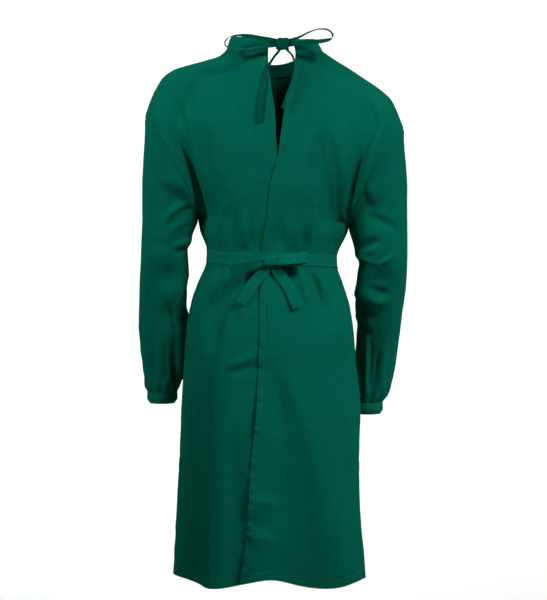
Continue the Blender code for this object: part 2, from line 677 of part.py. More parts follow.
def make_sleeve(side):
    """A sleeve from the armhole's seam to the cuff's."""
    alongs = np.linspace(0, 1, SLEEVE_RINGS)
    outer, inner = [], []
    for i, along in enumerate(alongs):
        count = 2 * YOKE_ROWS * (2 if i >= SLEEVE_RINGS - GATHERED_RINGS else 1)
        turn = np.arange(count) / count
        ring, normals = sleeve_surface(side, turn, np.full(count, along))
        if i == 0:
            normals = armhole_way(side, turn)
        if i == SLEEVE_RINGS - 1:
            normals[:, 2] = 0
            normals = unit(normals)
            ring[:, 2] = sleeve_ring(side, 1.0)[1]
        ring = keep_clear(ring, side, 6.0 * MM)
        outer.append(ring)
        inner.append(keep_clear(wall(ring, normals, WALL), side, 6.0 * MM + WALL))
        if i == 0:
            ways = normals
    for rings in (outer, inner):
        ahead = rings[1] - rings[0]
        ahead = ahead - np.sum(ahead * ways, axis=-1, keepdims=True) * ways
        rings[0] = rings[0] + unit(ahead) * SEAM
        rings[-1] = rings[-1] + np.array([0, 0, SEAM])
    name = "sleeve_right" if side > 0 else "sleeve_left"
    tube_solid(name, outer, inner, GREEN, side < 0)


def make_cuff(side):
    """A narrow closed band on the sleeve's end."""
    turn = np.arange(24) / 24
    top = sleeve_point(side, turn, np.ones_like(turn))
    centre = top.mean(axis=0)
    way = unit((top - centre) * np.array([1, 1, 0]))
    outer, inner = [], []
    for drop, grow in ((SEAM, 0.0), (CUFF_HEIGHT * 0.3, 0.8), (CUFF_HEIGHT, 0.3)):
        ring = top + way * grow * MM - np.array([0, 0, drop])
        outer.append(ring)
        inner.append(ring - way * BAND_WALL)
    name = "cuff_right" if side > 0 else "cuff_left"
    tube_solid(name, outer, inner, GREEN_BAND, side < 0)


def neckband_lean(angle):
    """How far the neckband leans in: least at the back, most over the right shoulder."""
    back = np.clip(np.cos(angle), 0, 1)
    return 0.5 + 0.14 * np.sin(angle) - 0.28 * back


def make_neckband():
    """A narrow stand on the neckline, open at the back."""
    levels = np.array([2.0])
    right = half_columns(edge_share(1, levels))[0][:CENTRE_COLUMNS + 1]
    left = -half_columns(-edge_share(-1, levels))[0][:CENTRE_COLUMNS + 1]
    front = np.linspace(-NECK_SIDE, NECK_SIDE, 2 * CENTRE_COLUMNS + 1)[1:-1]
    full = np.full_like
    base = np.concatenate([body_point(-1, left, full(left, 2.0)),
                           body_point(1, front, full(front, 2.0)),
                           body_point(-1, right[::-1], full(right, 2.0))])
    ways = neck_ways(base)
    out = unit(base * np.array([1.0, 1.0, 0.0]))
    up = np.array([0.0, 0.0, 1.0])
    lean = neckband_lean(np.arctan2(base[:, 0], -base[:, 1]))[:, None]
    rise = unit(up - lean * out)
    start = base + rise * SEAM
    rows = [start]
    inner = [start - ways * BAND_WALL]
    across = unit(out + lean * up)
    for share in (0.35, 0.7, 1.0):
        row = base + rise * NECKBAND_HEIGHT * share
        rows.append(row)
        inner.append(row - across * BAND_WALL)
    sheet_solid("neckband", np.stack(rows), np.stack(inner), GREEN_BAND, True)


def make_belt():
    """The belt's band, made from the panels' points at the waist, moved out."""
    s = np.linspace(1, -1, 33)[:-1]
    ring_s = np.r_[s, -s]
    face = np.r_[np.full(32, -1), np.full(32, 1)]
    outer, inner = [], []
    for t in belt_levels()[::-1]:
        ring = np.stack([body_point(f, a, t) for f, a in zip(face, ring_s)])
        along = np.roll(ring, -1, axis=0) - np.roll(ring, 1, axis=0)
        out = unit(np.cross(along, np.array([0.0, 0.0, -1.0])))
        over = np.where(face < 0, overlap_lift(1, ring_s, ring), 0.0)
        clear = (BELT_CLEAR + over)[:, None]
        inner.append(ring + out * clear)
        outer.append(ring + out * (clear + BELT_WALL))
    tube_solid("waist_belt", outer, inner, GREEN_BAND, False)


def make_ribbon(name, path, width, thickness, colour, steps=4):
    """A flat strip along a smooth path, its face turned as the path's wide columns say."""
    rows = np.asarray(path, float)
    knots = np.arange(len(rows))
    at = np.linspace(0, len(rows) - 1, steps // 2 * (len(rows) - 1) + 1)
    line = smooth(knots, rows, at)
    middle = line[:, :3] * MM
    along = unit(np.gradient(middle, axis=0))
    wide = line[:, 3:] - np.sum(line[:, 3:] * along, axis=-1, keepdims=True) * along
    wide = unit(wide) * width / 2
    thick = unit(np.cross(along, wide)) * thickness / 2
    corners = np.stack([middle + wide + thick, middle + wide - thick,
                        middle - wide - thick, middle - wide + thick], axis=1)
    faces = quads(len(middle), 4, 0, closed=True)
    last = 4 * (len(middle) - 1)
    ends = np.array([[3, 2, 1, 0], [last, last + 1, last + 2, last + 3]])
    faces = np.concatenate([faces, ends])[:, ::-1]
    return finish_object(name, corners.reshape(-1, 3), faces, colour)


def make_knot(name, centre, size, colour):
    """A rounded block of tied cloth."""
    rings, turns = 8, 16
    up = np.linspace(-np.pi / 2, np.pi / 2, rings + 1)[1:-1]
    turn = np.arange(turns) / turns * 2 * np.pi

    def power(x):
        return np.sign(x) * np.abs(x) ** 0.45

    x = power(np.cos(up))[:, None] * power(np.cos(turn))[None, :]
    y = power(np.cos(up))[:, None] * power(np.sin(turn))[None, :]
    z = np.broadcast_to(power(np.sin(up))[:, None], x.shape)
    half = np.array(size) * MM / 2
    points = np.stack([x, y, z], axis=-1).reshape(-1, 3) * half + np.array(centre) * MM
    poles = np.array([[0, 0, -half[2]], [0, 0, half[2]]]) + np.array(centre) * MM
    faces = quads(rings - 1, turns, 0, closed=True).tolist()
    low, high = len(points), len(points) + 1
    first = (rings - 2) * turns
    for i in range(turns):
        j = (i + 1) % turns
        faces += [[low, j, i], [high, first + i, first + j]]
    return finish_object(name, np.concatenate([points, poles]), faces, colour)


def make_bows():
    """The neck ties' bow and the belt's bow, a piece for each stretch that shows."""
    for name, path in NECK_BOW.items():
        make_ribbon(name, path, TAPE_WIDTH, TAPE_WALL, GREEN_TAPE)
    for name, path in WAIST_BOW.items():
        make_ribbon(name, path, BELT_WIDTH - 2 * MM, BELT_WALL, GREEN_BAND)
    make_knot("neck_knot", NECK_KNOT, NECK_KNOT_SIZE, GREEN_TAPE)
    make_knot("waist_knot", WAIST_KNOT, WAIST_KNOT_SIZE, GREEN_BAND)


def main():
    for thing in list(bpy.data.objects):
        bpy.data.objects.remove(thing)
    make_front()
    for side in (1, -1):
        make_back(side)
        make_sleeve(side)
        make_cuff(side)
    make_neckband()
    make_belt()
    make_bows()


main()
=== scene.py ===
"""Looks of the surgical gown: thin creased cloth, bands, ties, stitching and a plain studio stage.

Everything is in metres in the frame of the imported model: +X the wearer's right, -Y the back,
+Z up, with the origin in the middle of the neckline. A panel's surface is a function of s, from
the left side seam (-1) over the centre line (0) to the right side seam (1), and of t, from the
hem (0) over the armpits (1) to the neckline and the shoulder seams (2).
"""

import math

import bpy
import mathutils
import numpy as np
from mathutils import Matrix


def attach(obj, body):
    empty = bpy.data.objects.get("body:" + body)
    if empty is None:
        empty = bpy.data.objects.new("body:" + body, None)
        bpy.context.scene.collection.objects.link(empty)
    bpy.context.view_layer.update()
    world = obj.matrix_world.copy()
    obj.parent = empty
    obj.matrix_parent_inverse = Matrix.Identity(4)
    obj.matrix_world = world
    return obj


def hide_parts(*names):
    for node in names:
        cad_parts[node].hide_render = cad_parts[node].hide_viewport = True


bl_info = {
    "name": "Surgical Gown",
    "version": (1, 0, 0),
    "blender": (4, 5, 0),
    "location": "View3D > Sidebar > Gown",
    "description": "Builds the cloth, bands, ties and stitching of a surgical gown",
    "category": "Object",
}

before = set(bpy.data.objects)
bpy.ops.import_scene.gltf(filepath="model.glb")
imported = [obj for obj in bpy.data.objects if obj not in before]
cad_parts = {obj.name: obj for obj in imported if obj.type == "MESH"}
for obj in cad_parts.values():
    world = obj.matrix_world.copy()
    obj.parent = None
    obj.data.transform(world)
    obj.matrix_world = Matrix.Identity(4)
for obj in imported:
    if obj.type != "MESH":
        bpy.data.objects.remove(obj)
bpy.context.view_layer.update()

MM = 0.001
BELT_WIDTH = 25.0 * MM
BELT_CLEAR = 0.7 * MM      # belt's inner side above the panels
BELT_HEIGHT = -0.438
CUFF_HEIGHT = 26.0 * MM
NECKBAND_HEIGHT = 30.0 * MM
OVER_LIFT = 1.7 * MM       # right back above the shared surface where the backs overlap
UNDER_DROP = 1.1 * MM      # left back below it
NECK_SIDE = 0.34           # the s of the neckline's side points
ARC = 1.0                  # radians of bow left in a row once it is clear of the armpit
ARMHOLE_BOW = 14.0 * MM
ARMHOLE_LEAN = (0.866, 0.5)  # the bow's way: in towards the neck, and up
CUFF_GATHERS = 12
GATHER_DEPTH = 1.7 * MM
MEET_HEIGHT = -0.228       # where the slit ends and the overlap starts
HALF_WIDTH = 0.27          # cloth from the centre line to the side seam
SKIRT_LENGTH = 0.76        # cloth from the hem to the armpits
YOKE_LENGTH = 0.30         # cloth from the armpits to the shoulder seam
SLEEVE_LENGTH = 0.62
FOLD_DEPTH = 1.6           # times the solids' main folds
SLEEVE_FOLD_DEPTH = 1.5
STEEP, SHALLOW = 0.75, 1.6  # a fold's width on its two sides
EDGE_STANDS = ((-0.765, 0.05), (-0.925, 0.04), (-1.07, 0.03))  # where the lapping edge stands off
EDGE_STAND_OFF = 6.0 * MM
SINK_LEFT = 0.010          # x of the skirt's broad sink at its left line
SINK_TOP, SINK_WIDTH, SINK_SPREAD = -0.719, 0.035, 0.31  # its width at a height, growth below it
EDGE_PUCKER = 1.9 * MM     # puckers along a back's free edge
EDGE_THICK = 0.9 * MM      # rise of the cloth at its turned edge
TURNED = 0.7               # how much thicker a hem is than the plain cloth
SLEEVE_CLEAR = 6.0 * MM    # between a sleeve and the body
# Soft rolls beside the seams (height, width) and the lines that stitches pull in (depth, width)
SIDE_ROLL = (0.8 * MM, 3.5 * MM)
SHOULDER_ROLL = (0.7 * MM, 3.0 * MM)
ARMHOLE_ROLL = (1.3 * MM, 6 * MM)
HEM_GROOVE = (0.5 * MM, 1.6 * MM)
EDGE_GROOVE = (0.9 * MM, 1.8 * MM)
HEM_LIFT_BACK, HEM_LIFT_FRONT, HEM_WAVE = 15.0 * MM, 5.0 * MM, 3.0 * MM
SWELL_CELL = 0.05          # size of the cloth's low swells
SIDE_PUCKER, SHOULDER_PUCKER, HEM_PUCKER = 0.011, 0.012, 0.009  # length of puckers along seams
PLEAT_DEPTH = 2.1 * MM     # pleats beside the belt: depth, run and the two widths they mix
PLEAT_RUN, PLEAT_WIDE, PLEAT_BROAD = 0.038, 0.011, 0.021
FINE_GATHERS, GATHERS_START = 34, 0.78   # small waves round the sleeve, where they begin
WAIST_LEVEL = -0.40        # below it the sleeves are kept clear of the body
PROBE = 0.1                # the s at which a panel's width is measured
LATTICE = 64               # cells of the noise before it repeats
# Points across the pieces' grids, and the rows and columns that the stitches follow
BACK_COLUMNS, FRONT_COLUMNS = 118, 150
SLEEVE_ROWS, SLEEVE_COLUMNS = 150, 128
CUFF_COLUMNS, BELT_COLUMNS = 144, 320
BAND_ROWS, BELT_ROWS = 15, 13
BAND_STITCHES, BELT_STITCHES = (2, 12), (1, 11)
EDGE_ROW = 100             # the row at which the edge's hem is measured
CUFF_TUCK = 4.5 * MM       # how far the cuff's lower rim is rounded in
CUFF_WALLS, NECKBAND_WALLS = 1.5, 1.6   # walls of plain cloth in a band
BELT_WALL = 1.2 * MM
RIBBON_STEPS = 12          # points along each stretch of a ribbon
RIBBON_LEAST = 10.0 * MM   # the narrowest cut a ribbon is given
THREAD_RADIUS = 0.24 * MM
STITCH_PITCH = 1.45        # stitch and gap, in lengths of a stitch
KNOT_REACH = 22.0          # mm from the knot within which a ribbon's end runs on into it
WEAVE_PITCH = 0.45 * MM
WEAVE_BUMP = 0.35
THREAD_HEIGHT = 0.09 * MM
OBJECT_PLACE, ATTRIBUTE_VALUE = 3, 2     # outputs: Object coordinates, an attribute's factor

# Rings of the body, mm: height, left and right outline, depth of the back and of the front
RING_COLUMNS = ("height", "left", "right", "back", "front")
RINGS = (
    (-1116, -217, 187, 166, 150),
    (-1040, -213, 187, 163, 149),
    (-950, -208, 184, 158, 147),
    (-850, -202, 183, 154, 145),
    (-746, -198, 185, 149, 142),
    (-671, -193, 176, 144, 138),
    (-595, -187, 170, 140, 134),
    (-531, -176, 159, 131, 127),
    (-488, -161, 145, 122, 119),
    (-455, -146, 134, 114, 113),
    (-425, -142, 133, 111, 112),
    (-400, -145, 136, 113, 114),
    (-378, -152, 147, 117, 118),
    (-345, -161, 163, 122, 122),
)

# Centre lines above the armpits: t, then in mm the back's height and depth and the front's
YOKE = (
    (1.00, -355, 121, -355, 122),
    (1.25, -270, 126, -285, 126),
    (1.50, -180, 124, -207, 122),
    (1.75, -92, 107, -125, 106),
    (1.90, -38, 85, -76, 90),
    (2.00, -8, 69, -46, 77),
)

# Shoulder lines from the neckline's side to the top of the armhole, mm: out, height
SHOULDERS = {
    1: ((104, 2), (129, -15), (163, -36), (196, -58), (228, -80), (250, -101), (261, -123),
        (269, -144), (275, -163)),
    -1: ((101, 6), (111, -4), (146, -17), (182, -27), (213, -37), (236, -53), (251, -77),
         (262, -101), (269, -122), (273, -140)),
}

# Sleeves from the armhole to the cuff, mm: outer edge and its height, inner edge and its height,
# the middle's depth and half the depth
SLEEVES = {
    1: ((275, -163, 158, -366, -4, 92),
        (279, -225, 161, -380, -3, 88),
        (284, -295, 170, -408, 0, 80),
        (286, -368, 178, -446, 5, 73),
        (286, -440, 179, -482, 12, 67),
        (285, -505, 173, -523, 23, 61),
        (278, -565, 176, -570, 35, 57),
        (271, -627, 175, -628, 48, 52),
        (263, -692, 171, -692, 60, 46),
        (253, -731, 171, -731, 67, 41),
        (239, -754, 173, -754, 70, 32)),
    -1: ((273, -140, 161, -345, -4, 92),
         (277, -208, 165, -364, -3, 88),
         (281, -285, 177, -397, 0, 80),
         (282, -360, 185, -430, 5, 73),
         (285, -432, 184, -470, 12, 67),
         (291, -502, 184, -520, 20, 61),
         (293, -567, 186, -572, 28, 57),
         (290, -628, 190, -629, 35, 52),
         (286, -684, 196, -684, 41, 46),
         (282, -711, 203, -711, 44, 41),
         (276, -728, 211, -728, 46, 32)),
}

# Free edges of the two backs, mm from the centre line: height, right back, left back
EDGE_COLUMNS = ("height", "right", "left")
EDGES = (
    (-1116, -58, 62),
    (-1040, -47, 58),
    (-950, -39, 52),
    (-850, -36, 47),
    (-746, -29, 42),
    (-595, -20, 32),
    (-440, -20, 26),
    (-350, -14, 20),
    (-262, -3, 13),
    (-228, 7, 7),
    (-190, 12, 4),
    (-128, 22, 1),
    (-87, 32, -5),
    (-42, 42, -11),
    (-8, 45, -12),
)

# Main folds in the front view, mm: from x, z to x, z, bend, half width, depth (below 0 a trough)
BACK_FOLDS = (
    (206, -108, 160, -336, -8, 17, -7),
    (-204, -84, -166, -318, -10, 15, -9),
    (-158, -60, -176, -160, -8, 14, -5),
    (-158, -150, -148, -396, 4, 52, -9),
    (106, -150, 118, -398, 0, 18, -6),
    (60, -190, 74, -400, 6, 20, 4),
    (76, -470, 126, -590, 8, 18, -8),
    (104, -480, 150, -640, 10, 20, 6),
    (-96, -480, -128, -640, -6, 20, -7),
    (-60, -560, -110, -900, -10, 28, 6),
    (-20, -640, 30, -800, 0, 32, -5),
    (96, -700, 120, -1110, 8, 30, 7),
    (56, -780, 70, -1110, 0, 34, -6),
    (-150, -700, -160, -1110, 0, 28, -6),
    (-108, -860, -112, -1110, 4, 26, 7),
)
FRONT_FOLDS = (
    (190, -112, 150, -336, 12, 17, -8),
    (-190, -90, -152, -318, -12, 17, -8),
    (-96, -180, -92, -398, 4, 22, -6),
    (88, -170, 96, -398, -4, 22, -6),
    (6, -230, -14, -400, 4, 24, 4),
    (-74, -480, -112, -700, -6, 24, -7),
    (70, -480, 104, -740, 8, 24, -7),
    (0, -500, 12, -900, 6, 30, 6),
    (-132, -640, -152, -1110, 0, 28, 6),
    (-56, -740, -66, -1110, 4, 30, -7),
    (58, -700, 50, -1110, -6, 30, 6),
    (128, -720, 136, -1110, 0, 28, -6),
)
# Finer creases laid on the main folds, same columns
BACK_CREASES = (
    (192, -96, 216, -178, 6, 6, -7),
    (220, -140, 157, -352, -9, 7.5, -16),
    (98, -176, 102, -252, 2, 5, -3.5),
    (114, -170, 136, -396, 5, 12, -7.5),
    (104, -236, 74, -408, -4, 6, 4.5),
    (146, -340, 118, -420, 2, 5, -4),
    (-208, -86, -178, -190, 4, 5, -8),
    (-152, -58, -186, -150, -7, 6, -6),
    (-186, -180, -156, -360, 2, 8, -13),
    (-206, -222, -178, -258, -3, 5, -5),
    (-140, -150, -142, -330, 0, 9, -2.5),
    (-100, -316, -120, -392, 0, 5, 3.5),
    (-82, -330, -80, -420, 0, 8, -5),
    (-58, -336, -55, -424, 0, 4.5, 5),
    (14, -346, 14, -424, 0, 10, -5),
    (52, -366, 48, -424, 0, 6, 3),
    (66, -454, 106, -545, 9, 4.5, -6),
    (98, -458, 130, -560, 8, 5, -4),
    (40, -458, 62, -540, 3, 5, -3),
    (-20, -458, -34, -540, -2, 5, -3),
    (-60, -458, -84, -560, -3, 6, -3.5),
    (-104, -458, -134, -580, -5, 6, -3.5),
    (-38, -632, -96, -662, 4, 8, 6),
    (150, -600, 150, -900, 4, 16, 3),
    (-50, -932, 12, -948, 5, 11, 5),
    (-60, -1002, 6, -1024, 6, 12, 6),
    (-130, -620, -150, -800, -5, 12, -3.5),
    (-90, -760, -84, -980, 4, 14, -3),
    (-140, -900, -128, -1300, 3, 14, 3.5),
    (-66, -860, -72, -1300, 0, 18, -5),
)
FRONT_CREASES = (
    (186, -104, 158, -300, 10, 6, -5.8),
    (-186, -96, -160, -290, -9, 6, -5.8),
    (-206, -236, -170, -276, -4, 5, -4.0),
    (204, -246, 168, -284, 4, 5, -4.0),
    (-92, -210, -96, -410, 3, 7, -4.3),
    (92, -200, 98, -410, -3, 7, -4.3),
    (-46, -300, -38, -424, 2, 7, 3.2),
    (52, -310, 44, -424, -2, 7, 3.2),
    (126, -330, 120, -424, 2, 6, -3.2),
    (-128, -330, -122, -424, -2, 6, -3.2),
    (-30, -462, -46, -580, -3, 6, -3.6),
    (26, -462, 40, -600, 3, 6, -3.6),
    (-90, -462, -120, -590, -4, 6, -4.3),
    (88, -462, 120, -600, 5, 6, -4.3),
    (-60, -462, -84, -560, -3, 5, 3.2),
    (58, -462, 82, -560, 3, 5, 3.2),
    (-20, -640, 30, -760, 4, 9, -3.2),
    (60, -760, 96, -980, 4, 11, -3.2),
    (-90, -820, -106, -1040, -4, 11, 3.2),
    (-20, -900, -40, -1100, 3, 11, -3.2),
    (140, -820, 134, -1060, 3, 11, 3.2),
)
# Folds of the sleeves: round the sleeve (0 outer, 0.25 back, 0.5 inner) and along it at both ends,
# half width, depth in mm
SLEEVE_FOLDS = (
    (0.40, 0.06, 0.20, 0.22, 0.050, -6),
    (0.44, 0.40, 0.20, 0.45, 0.045, -5),
    (0.42, 0.47, 0.24, 0.52, 0.040, 3),
    (0.46, 0.56, 0.24, 0.60, 0.045, -5),
    (0.30, 0.66, 0.24, 0.92, 0.045, -3),
    (0.06, 0.38, 0.42, 0.40, 0.090, 4),
    (0.02, 0.72, 0.48, 0.74, 0.130, -6),
    (0.84, 0.36, 0.60, 0.44, 0.050, -6),
    (0.88, 0.54, 0.64, 0.58, 0.050, -6),
    (0.72, 0.66, 0.76, 0.92, 0.050, -5),
)
SLEEVE_CREASES = {
    1: (
        (0.20, 0.62, 0.26, 0.84, 0.014, -1.8),
        (0.10, 0.66, 0.13, 0.90, 0.014, -1.6),
        (0.90, 0.30, 0.70, 0.38, 0.018, -3.6),
        (0.86, 0.50, 0.62, 0.56, 0.018, -3.8),
        (0.60, 0.10, 0.72, 0.22, 0.018, -3.4),
        (0.66, 0.66, 0.62, 0.90, 0.016, -2.8),
        (0.80, 0.62, 0.84, 0.88, 0.016, -2.4),
    ),
    -1: (
        (0.16, 0.60, 0.20, 0.86, 0.015, -1.8),
        (0.34, 0.30, 0.12, 0.35, 0.016, -1.8),
        (0.88, 0.32, 0.66, 0.40, 0.018, -3.6),
        (0.84, 0.52, 0.62, 0.57, 0.018, -3.4),
        (0.60, 0.10, 0.70, 0.24, 0.018, -3.4),
        (0.70, 0.68, 0.66, 0.92, 0.016, -2.8),
        (0.82, 0.60, 0.86, 0.86, 0.016, -2.2),
    ),
}
# Creases on the back half of the sleeves, columns as the panels' creases
SLEEVE_BACK_CREASES = {
    1: (
        (176, -290, 212, -350, 3, 10, -4),
        (188, -352, 268, -388, 10, 8, -5),
        (176, -402, 222, -396, -3, 6, -4),
        (180, -422, 224, -408, -4, 5, 6),
        (186, -428, 216, -450, 0, 4, 5),
        (214, -451, 254, -422, -2, 4, 5),
        (166, -442, 216, -462, 3, 9, -13),
        (196, -500, 248, -514, 3, 6, -5),
        (206, -530, 248, -525, 0, 6, 5),
        (164, -522, 224, -556, 4, 7, -9),
        (164, -572, 206, -604, 3, 8, -8),
        (186, -590, 190, -740, 2, 4.5, -8),
        (196, -600, 198, -724, 0, 4, 2),
        (204, -610, 206, -730, 0, 5, -3),
        (226, -630, 222, -736, 0, 8, -1.5),
        (246, -600, 232, -730, 0, 7, 3),
    ),
    -1: (
        (-244, -282, -178, -326, 4, 10, -4),
        (-226, -370, -162, -328, 5, 5, -7),
        (-228, -354, -194, -322, 3, 6, 4),
        (-206, -388, -172, -362, 0, 5, -4),
        (-216, -414, -174, -392, 0, 5, 5),
        (-212, -424, -174, -414, 0, 6, -5),
        (-176, -480, -198, -580, 0, 9, -14),
        (-188, -540, -213, -604, 2, 7, -9),
        (-211, -570, -208, -728, 0, 6, -9),
        (-198, -590, -198, -704, 0, 6, 5),
        (-226, -536, -212, -594, 2, 6, -5),
        (-232, -610, -228, -726, 0, 6, -3),
        (-252, -600, -248, -724, 0, 7, 3),
        (-264, -640, -260, -722, 0, 5, -2.5),
    ),
}

# Bows: middle lines of their stretches, x, y, z in mm, and the way the ribbon's width points
NECK_KNOT = (17.5, -79, 8.5)
NECK_KNOT_SIZE = (30, 12.5, 26)
NECK_BOW = {
    "neck_tie_left": (
        (-16, -61.4, 11, 0, 0.2, 1), (-10.6, -62.8, 12.5, 0, 0.2, 1), (-3, -69.5, 13, 0, 0.1, 1),
        (6, -75.5, 14, 0, 0, 1)),
    "neck_tie_right": (
        (44.4, -52.6, 11, -0.2, 0.3, 1), (39.6, -57, 12.5, -0.2, 0.3, 1), (37, -68, 13, 0, 0.1, 1),
        (32.2, -75.5, 13, 0, 0, 1)),
    "neck_loop_left": (
        (6, -82, 14.5, 0, 0.2, 1), (-24, -84, 19, 0.1, 0.2, 1), (-50, -85, 23.5, 0, 0.4, 1),
        (-75, -82, 26, 0, 0.9, 0.5), (-93, -78, 22, 0.1, 1, 0.2), (-102, -75, 12, 0.2, 1, 0.1),
        (-97, -76, 2, 0.2, 1, 0.2), (-80, -80, -3, 0.1, 1, 0.4), (-56, -83, -3, 0, 1, 0.5),
        (-32, -84, 1, 0, 1, 0.7), (6, -82, 6, 0, 0.2, 1)),
    "neck_loop_right": (
        (32.3, -82, 15, 0, 0.2, 1), (51, -84, 21, -0.3, 0.9, 0.6), (71, -85, 31, -0.2, 0.9, 0.4),
        (93, -84, 38, 0, 0.9, 0.4), (111, -83, 37, 0.2, 0.8, 0.5), (121, -83, 28, 0.5, 0.8, 0.1),
        (117, -84, 18, 0.1, 0.7, 0.7), (98, -86, 13, 0, 0.3, 1), (72, -87, 11, 0, 0.1, 1),
        (51, -86, 9, 0, 0.2, 1), (32.3, -82, 6, 0, 0.2, 1)),
    "neck_tail_left": (
        (11, -80, 0.1, 0.7, 0.7, 0), (9, -81, -7, 0.6, 0.8, 0.1), (-2, -84.5, -22, 0.6, 0.8, 0.3),
        (-13, -90, -42, 0.7, 0.7, 0.2), (-19, -99.5, -66, 1, 0.1, 0.2),
        (-24, -109, -90, 1, 0.1, 0.2), (-28, -118, -120, 1, 0.1, 0.1),
        (-29, -123, -155, 1, 0.1, 0)),
    "neck_tail_right": (
        (27, -80, 0.1, 1, 0.2, 0), (29, -81, -6, 0.8, 0.6, 0), (39, -85, -18, 0.5, 0.9, 0.2),
        (43, -87, -39, 0.35, 0.9, 0.1), (39, -97, -60, 0.2, 1, 0), (33, -108, -80, 0.2, 1, 0),
        (25, -119, -107, 0.5, 0.9, 0), (18, -124, -129, 0.8, 0.6, 0)),
}
WAIST_KNOT = (-7, -127, -441)
WAIST_KNOT_SIZE = (30, 16, 23)
WAIST_BOW = {
    "waist_loop_right": (
        (8.6, -132.3, -440, 0, 0.3, 1), (25, -137.8, -438, 0, 0.5, 1),
        (45, -139, -436, 0.1, 0.5, 1), (62, -137, -434, 0.1, 0.4, 1),
        (69.5, -131.5, -434, 0.1, 0.2, 1), (62, -127.3, -436, 0.1, 0, 1),
        (45, -126.3, -440, 0.1, 0, 1), (25, -126.3, -442, 0, 0, 1),
        (8.6, -126.6, -443.5, 0, 0, 1)),
    "waist_loop_left": (
        (-23.8, -132.3, -443, 0, -0.2, 1), (-40, -138.4, -448, -0.3, -0.4, 1),
        (-60, -140.8, -453, -0.3, -0.4, 1), (-80, -138.8, -459, -0.3, -0.3, 1),
        (-91, -132.8, -461, -0.3, 0, 1), (-80, -127.8, -457, -0.3, 0, 1),
        (-60, -126.3, -450, -0.3, 0, 1), (-40, -126.3, -445, -0.2, 0, 1),
        (-23.8, -126.6, -444.5, 0, 0, 1)),
    "waist_tail_left": (
        (-18.8, -123, -456, 1, 0, 0), (-19, -123.1, -460, 1, 0, 0),
        (-21.5, -123.6, -464.5, 1, 0, -0.1), (-32, -125, -475, 0.9, 0, -0.4),
        (-44, -127.5, -490, 0.9, 0, -0.4), (-57, -129, -510, 0.9, 0, -0.4),
        (-69, -131, -527, 0.9, 0, -0.4)),
    "waist_tail_right": (
        (5.4, -123, -456, 1, 0, 0), (5.8, -123.2, -460, 1, 0, 0), (9, -124, -465, 1, 0, 0.1),
        (20, -126.5, -479, 1, 0, 0.3), (33, -131, -500, 1, 0, 0.3), (42, -135, -519, 1, 0, 0.3),
        (50, -138, -535, 1, 0, 0.3)),
}


# ---------------------------------------------------------------- curves and noise

def smooth(knots, values, x):
    """Cubic curve through the values, its slope at each knot that of the neighbours' chord."""
    knots = np.asarray(knots, float)
    values = np.asarray(values, float)
    x = np.clip(x, knots[0], knots[-1])
    slopes = np.gradient(values, knots, axis=0)
    i = np.clip(np.searchsorted(knots, x, side="right") - 1, 0, len(knots) - 2)
    step = knots[i + 1] - knots[i]
    f = (x - knots[i]) / step
    if values.ndim > 1:
        f = f[..., None]
        step = step[..., None]
    rise = f * f * (3 - 2 * f)
    start = f * (1 - f) ** 2 * step
    end = f * f * (f - 1) * step
    return values[i] * (1 - rise) + values[i + 1] * rise + slopes[i] * start + slopes[i + 1] * end


def distance(points):
    """How far along a row of points each one lies."""
    return np.r_[0, np.cumsum(np.linalg.norm(np.diff(points, axis=0), axis=1))]


def column(table, columns, name, x):
    """One named column of a table whose first column is x, both in mm, read at x in metres."""
    rows = np.asarray(table, float) * MM
    return smooth(rows[:, 0], rows[:, columns.index(name)], x)


def ease(x):
    """0 below 0, 1 above 1 and a smooth step between."""
    x = np.clip(x, 0.0, 1.0)
    return x * x * (3 - 2 * x)


def bell(x, wide):
    """A bell curve: 1 where x is 0, 1/e where it is the width."""
    return np.exp(-(x / wide) ** 2)


def unit(vectors):
    """Each vector at length 1."""
    return vectors / np.maximum(np.linalg.norm(vectors, axis=-1, keepdims=True), 1e-12)


def noise(u, v, seed, round_cells=LATTICE):
    """Smooth noise from -1 to 1: random values on a lattice of unit cells, eased in between.

    The lattice repeats after round_cells cells in u, so it closes round a sleeve.
    """
    u, v = np.broadcast_arrays(np.asarray(u, float), np.asarray(v, float))
    lattice = np.random.default_rng(seed).uniform(-1, 1, (round_cells, LATTICE))
    i, j = np.floor(u).astype(int), np.floor(v).astype(int)
    f, g = ease(u - i), ease(v - j)
    i0, i1 = i % round_cells, (i + 1) % round_cells
    j0, j1 = j % LATTICE, (j + 1) % LATTICE
    low = lattice[i0, j0] * (1 - f) + lattice[i1, j0] * f
    high = lattice[i0, j1] * (1 - f) + lattice[i1, j1] * f
    return low * (1 - g) + high * g


# ---------------------------------------------------------------- the gown's surface

def sleeve_ring(side, along):
    """Outer and inner point, middle's depth and half depth of a sleeve at 0 to 1 along it."""
    rows = np.asarray(SLEEVES[side], float) * MM
    knots = np.linspace(0, 1, len(rows))
    return smooth(knots, rows, np.asarray(along, float))


def sleeve_point(side, turn, along):
    """Ellipse between a ring's outer and inner point, bowed towards the neck at the armhole."""
    ring = sleeve_ring(side, along)
    outer, outer_z, inner, inner_z, middle, depth = np.moveaxis(ring, -1, 0)
    angle = 2 * np.pi * turn
    wide = np.cos(angle)
    bow = ARMHOLE_BOW * np.sin(angle) ** 2 * (1 - ease(along / 0.35))
    x = (outer + inner) / 2 + (outer - inner) / 2 * wide - bow * ARMHOLE_LEAN[0]
    z = (outer_z + inner_z) / 2 + (outer_z - inner_z) / 2 * wide + bow * ARMHOLE_LEAN[1]
    y = middle - depth * np.sin(angle)
    return np.stack([side * x, y, z], axis=-1)


def armhole(side, face, t):
    """The body's edge at the armhole for t from 1 to 2: the sleeve's first ring."""
    turn = 0.5 - 0.5 * (t - 1)
    turn = np.where(face < 0, turn, 1 - turn)
    return sleeve_point(side, turn, np.zeros_like(turn))


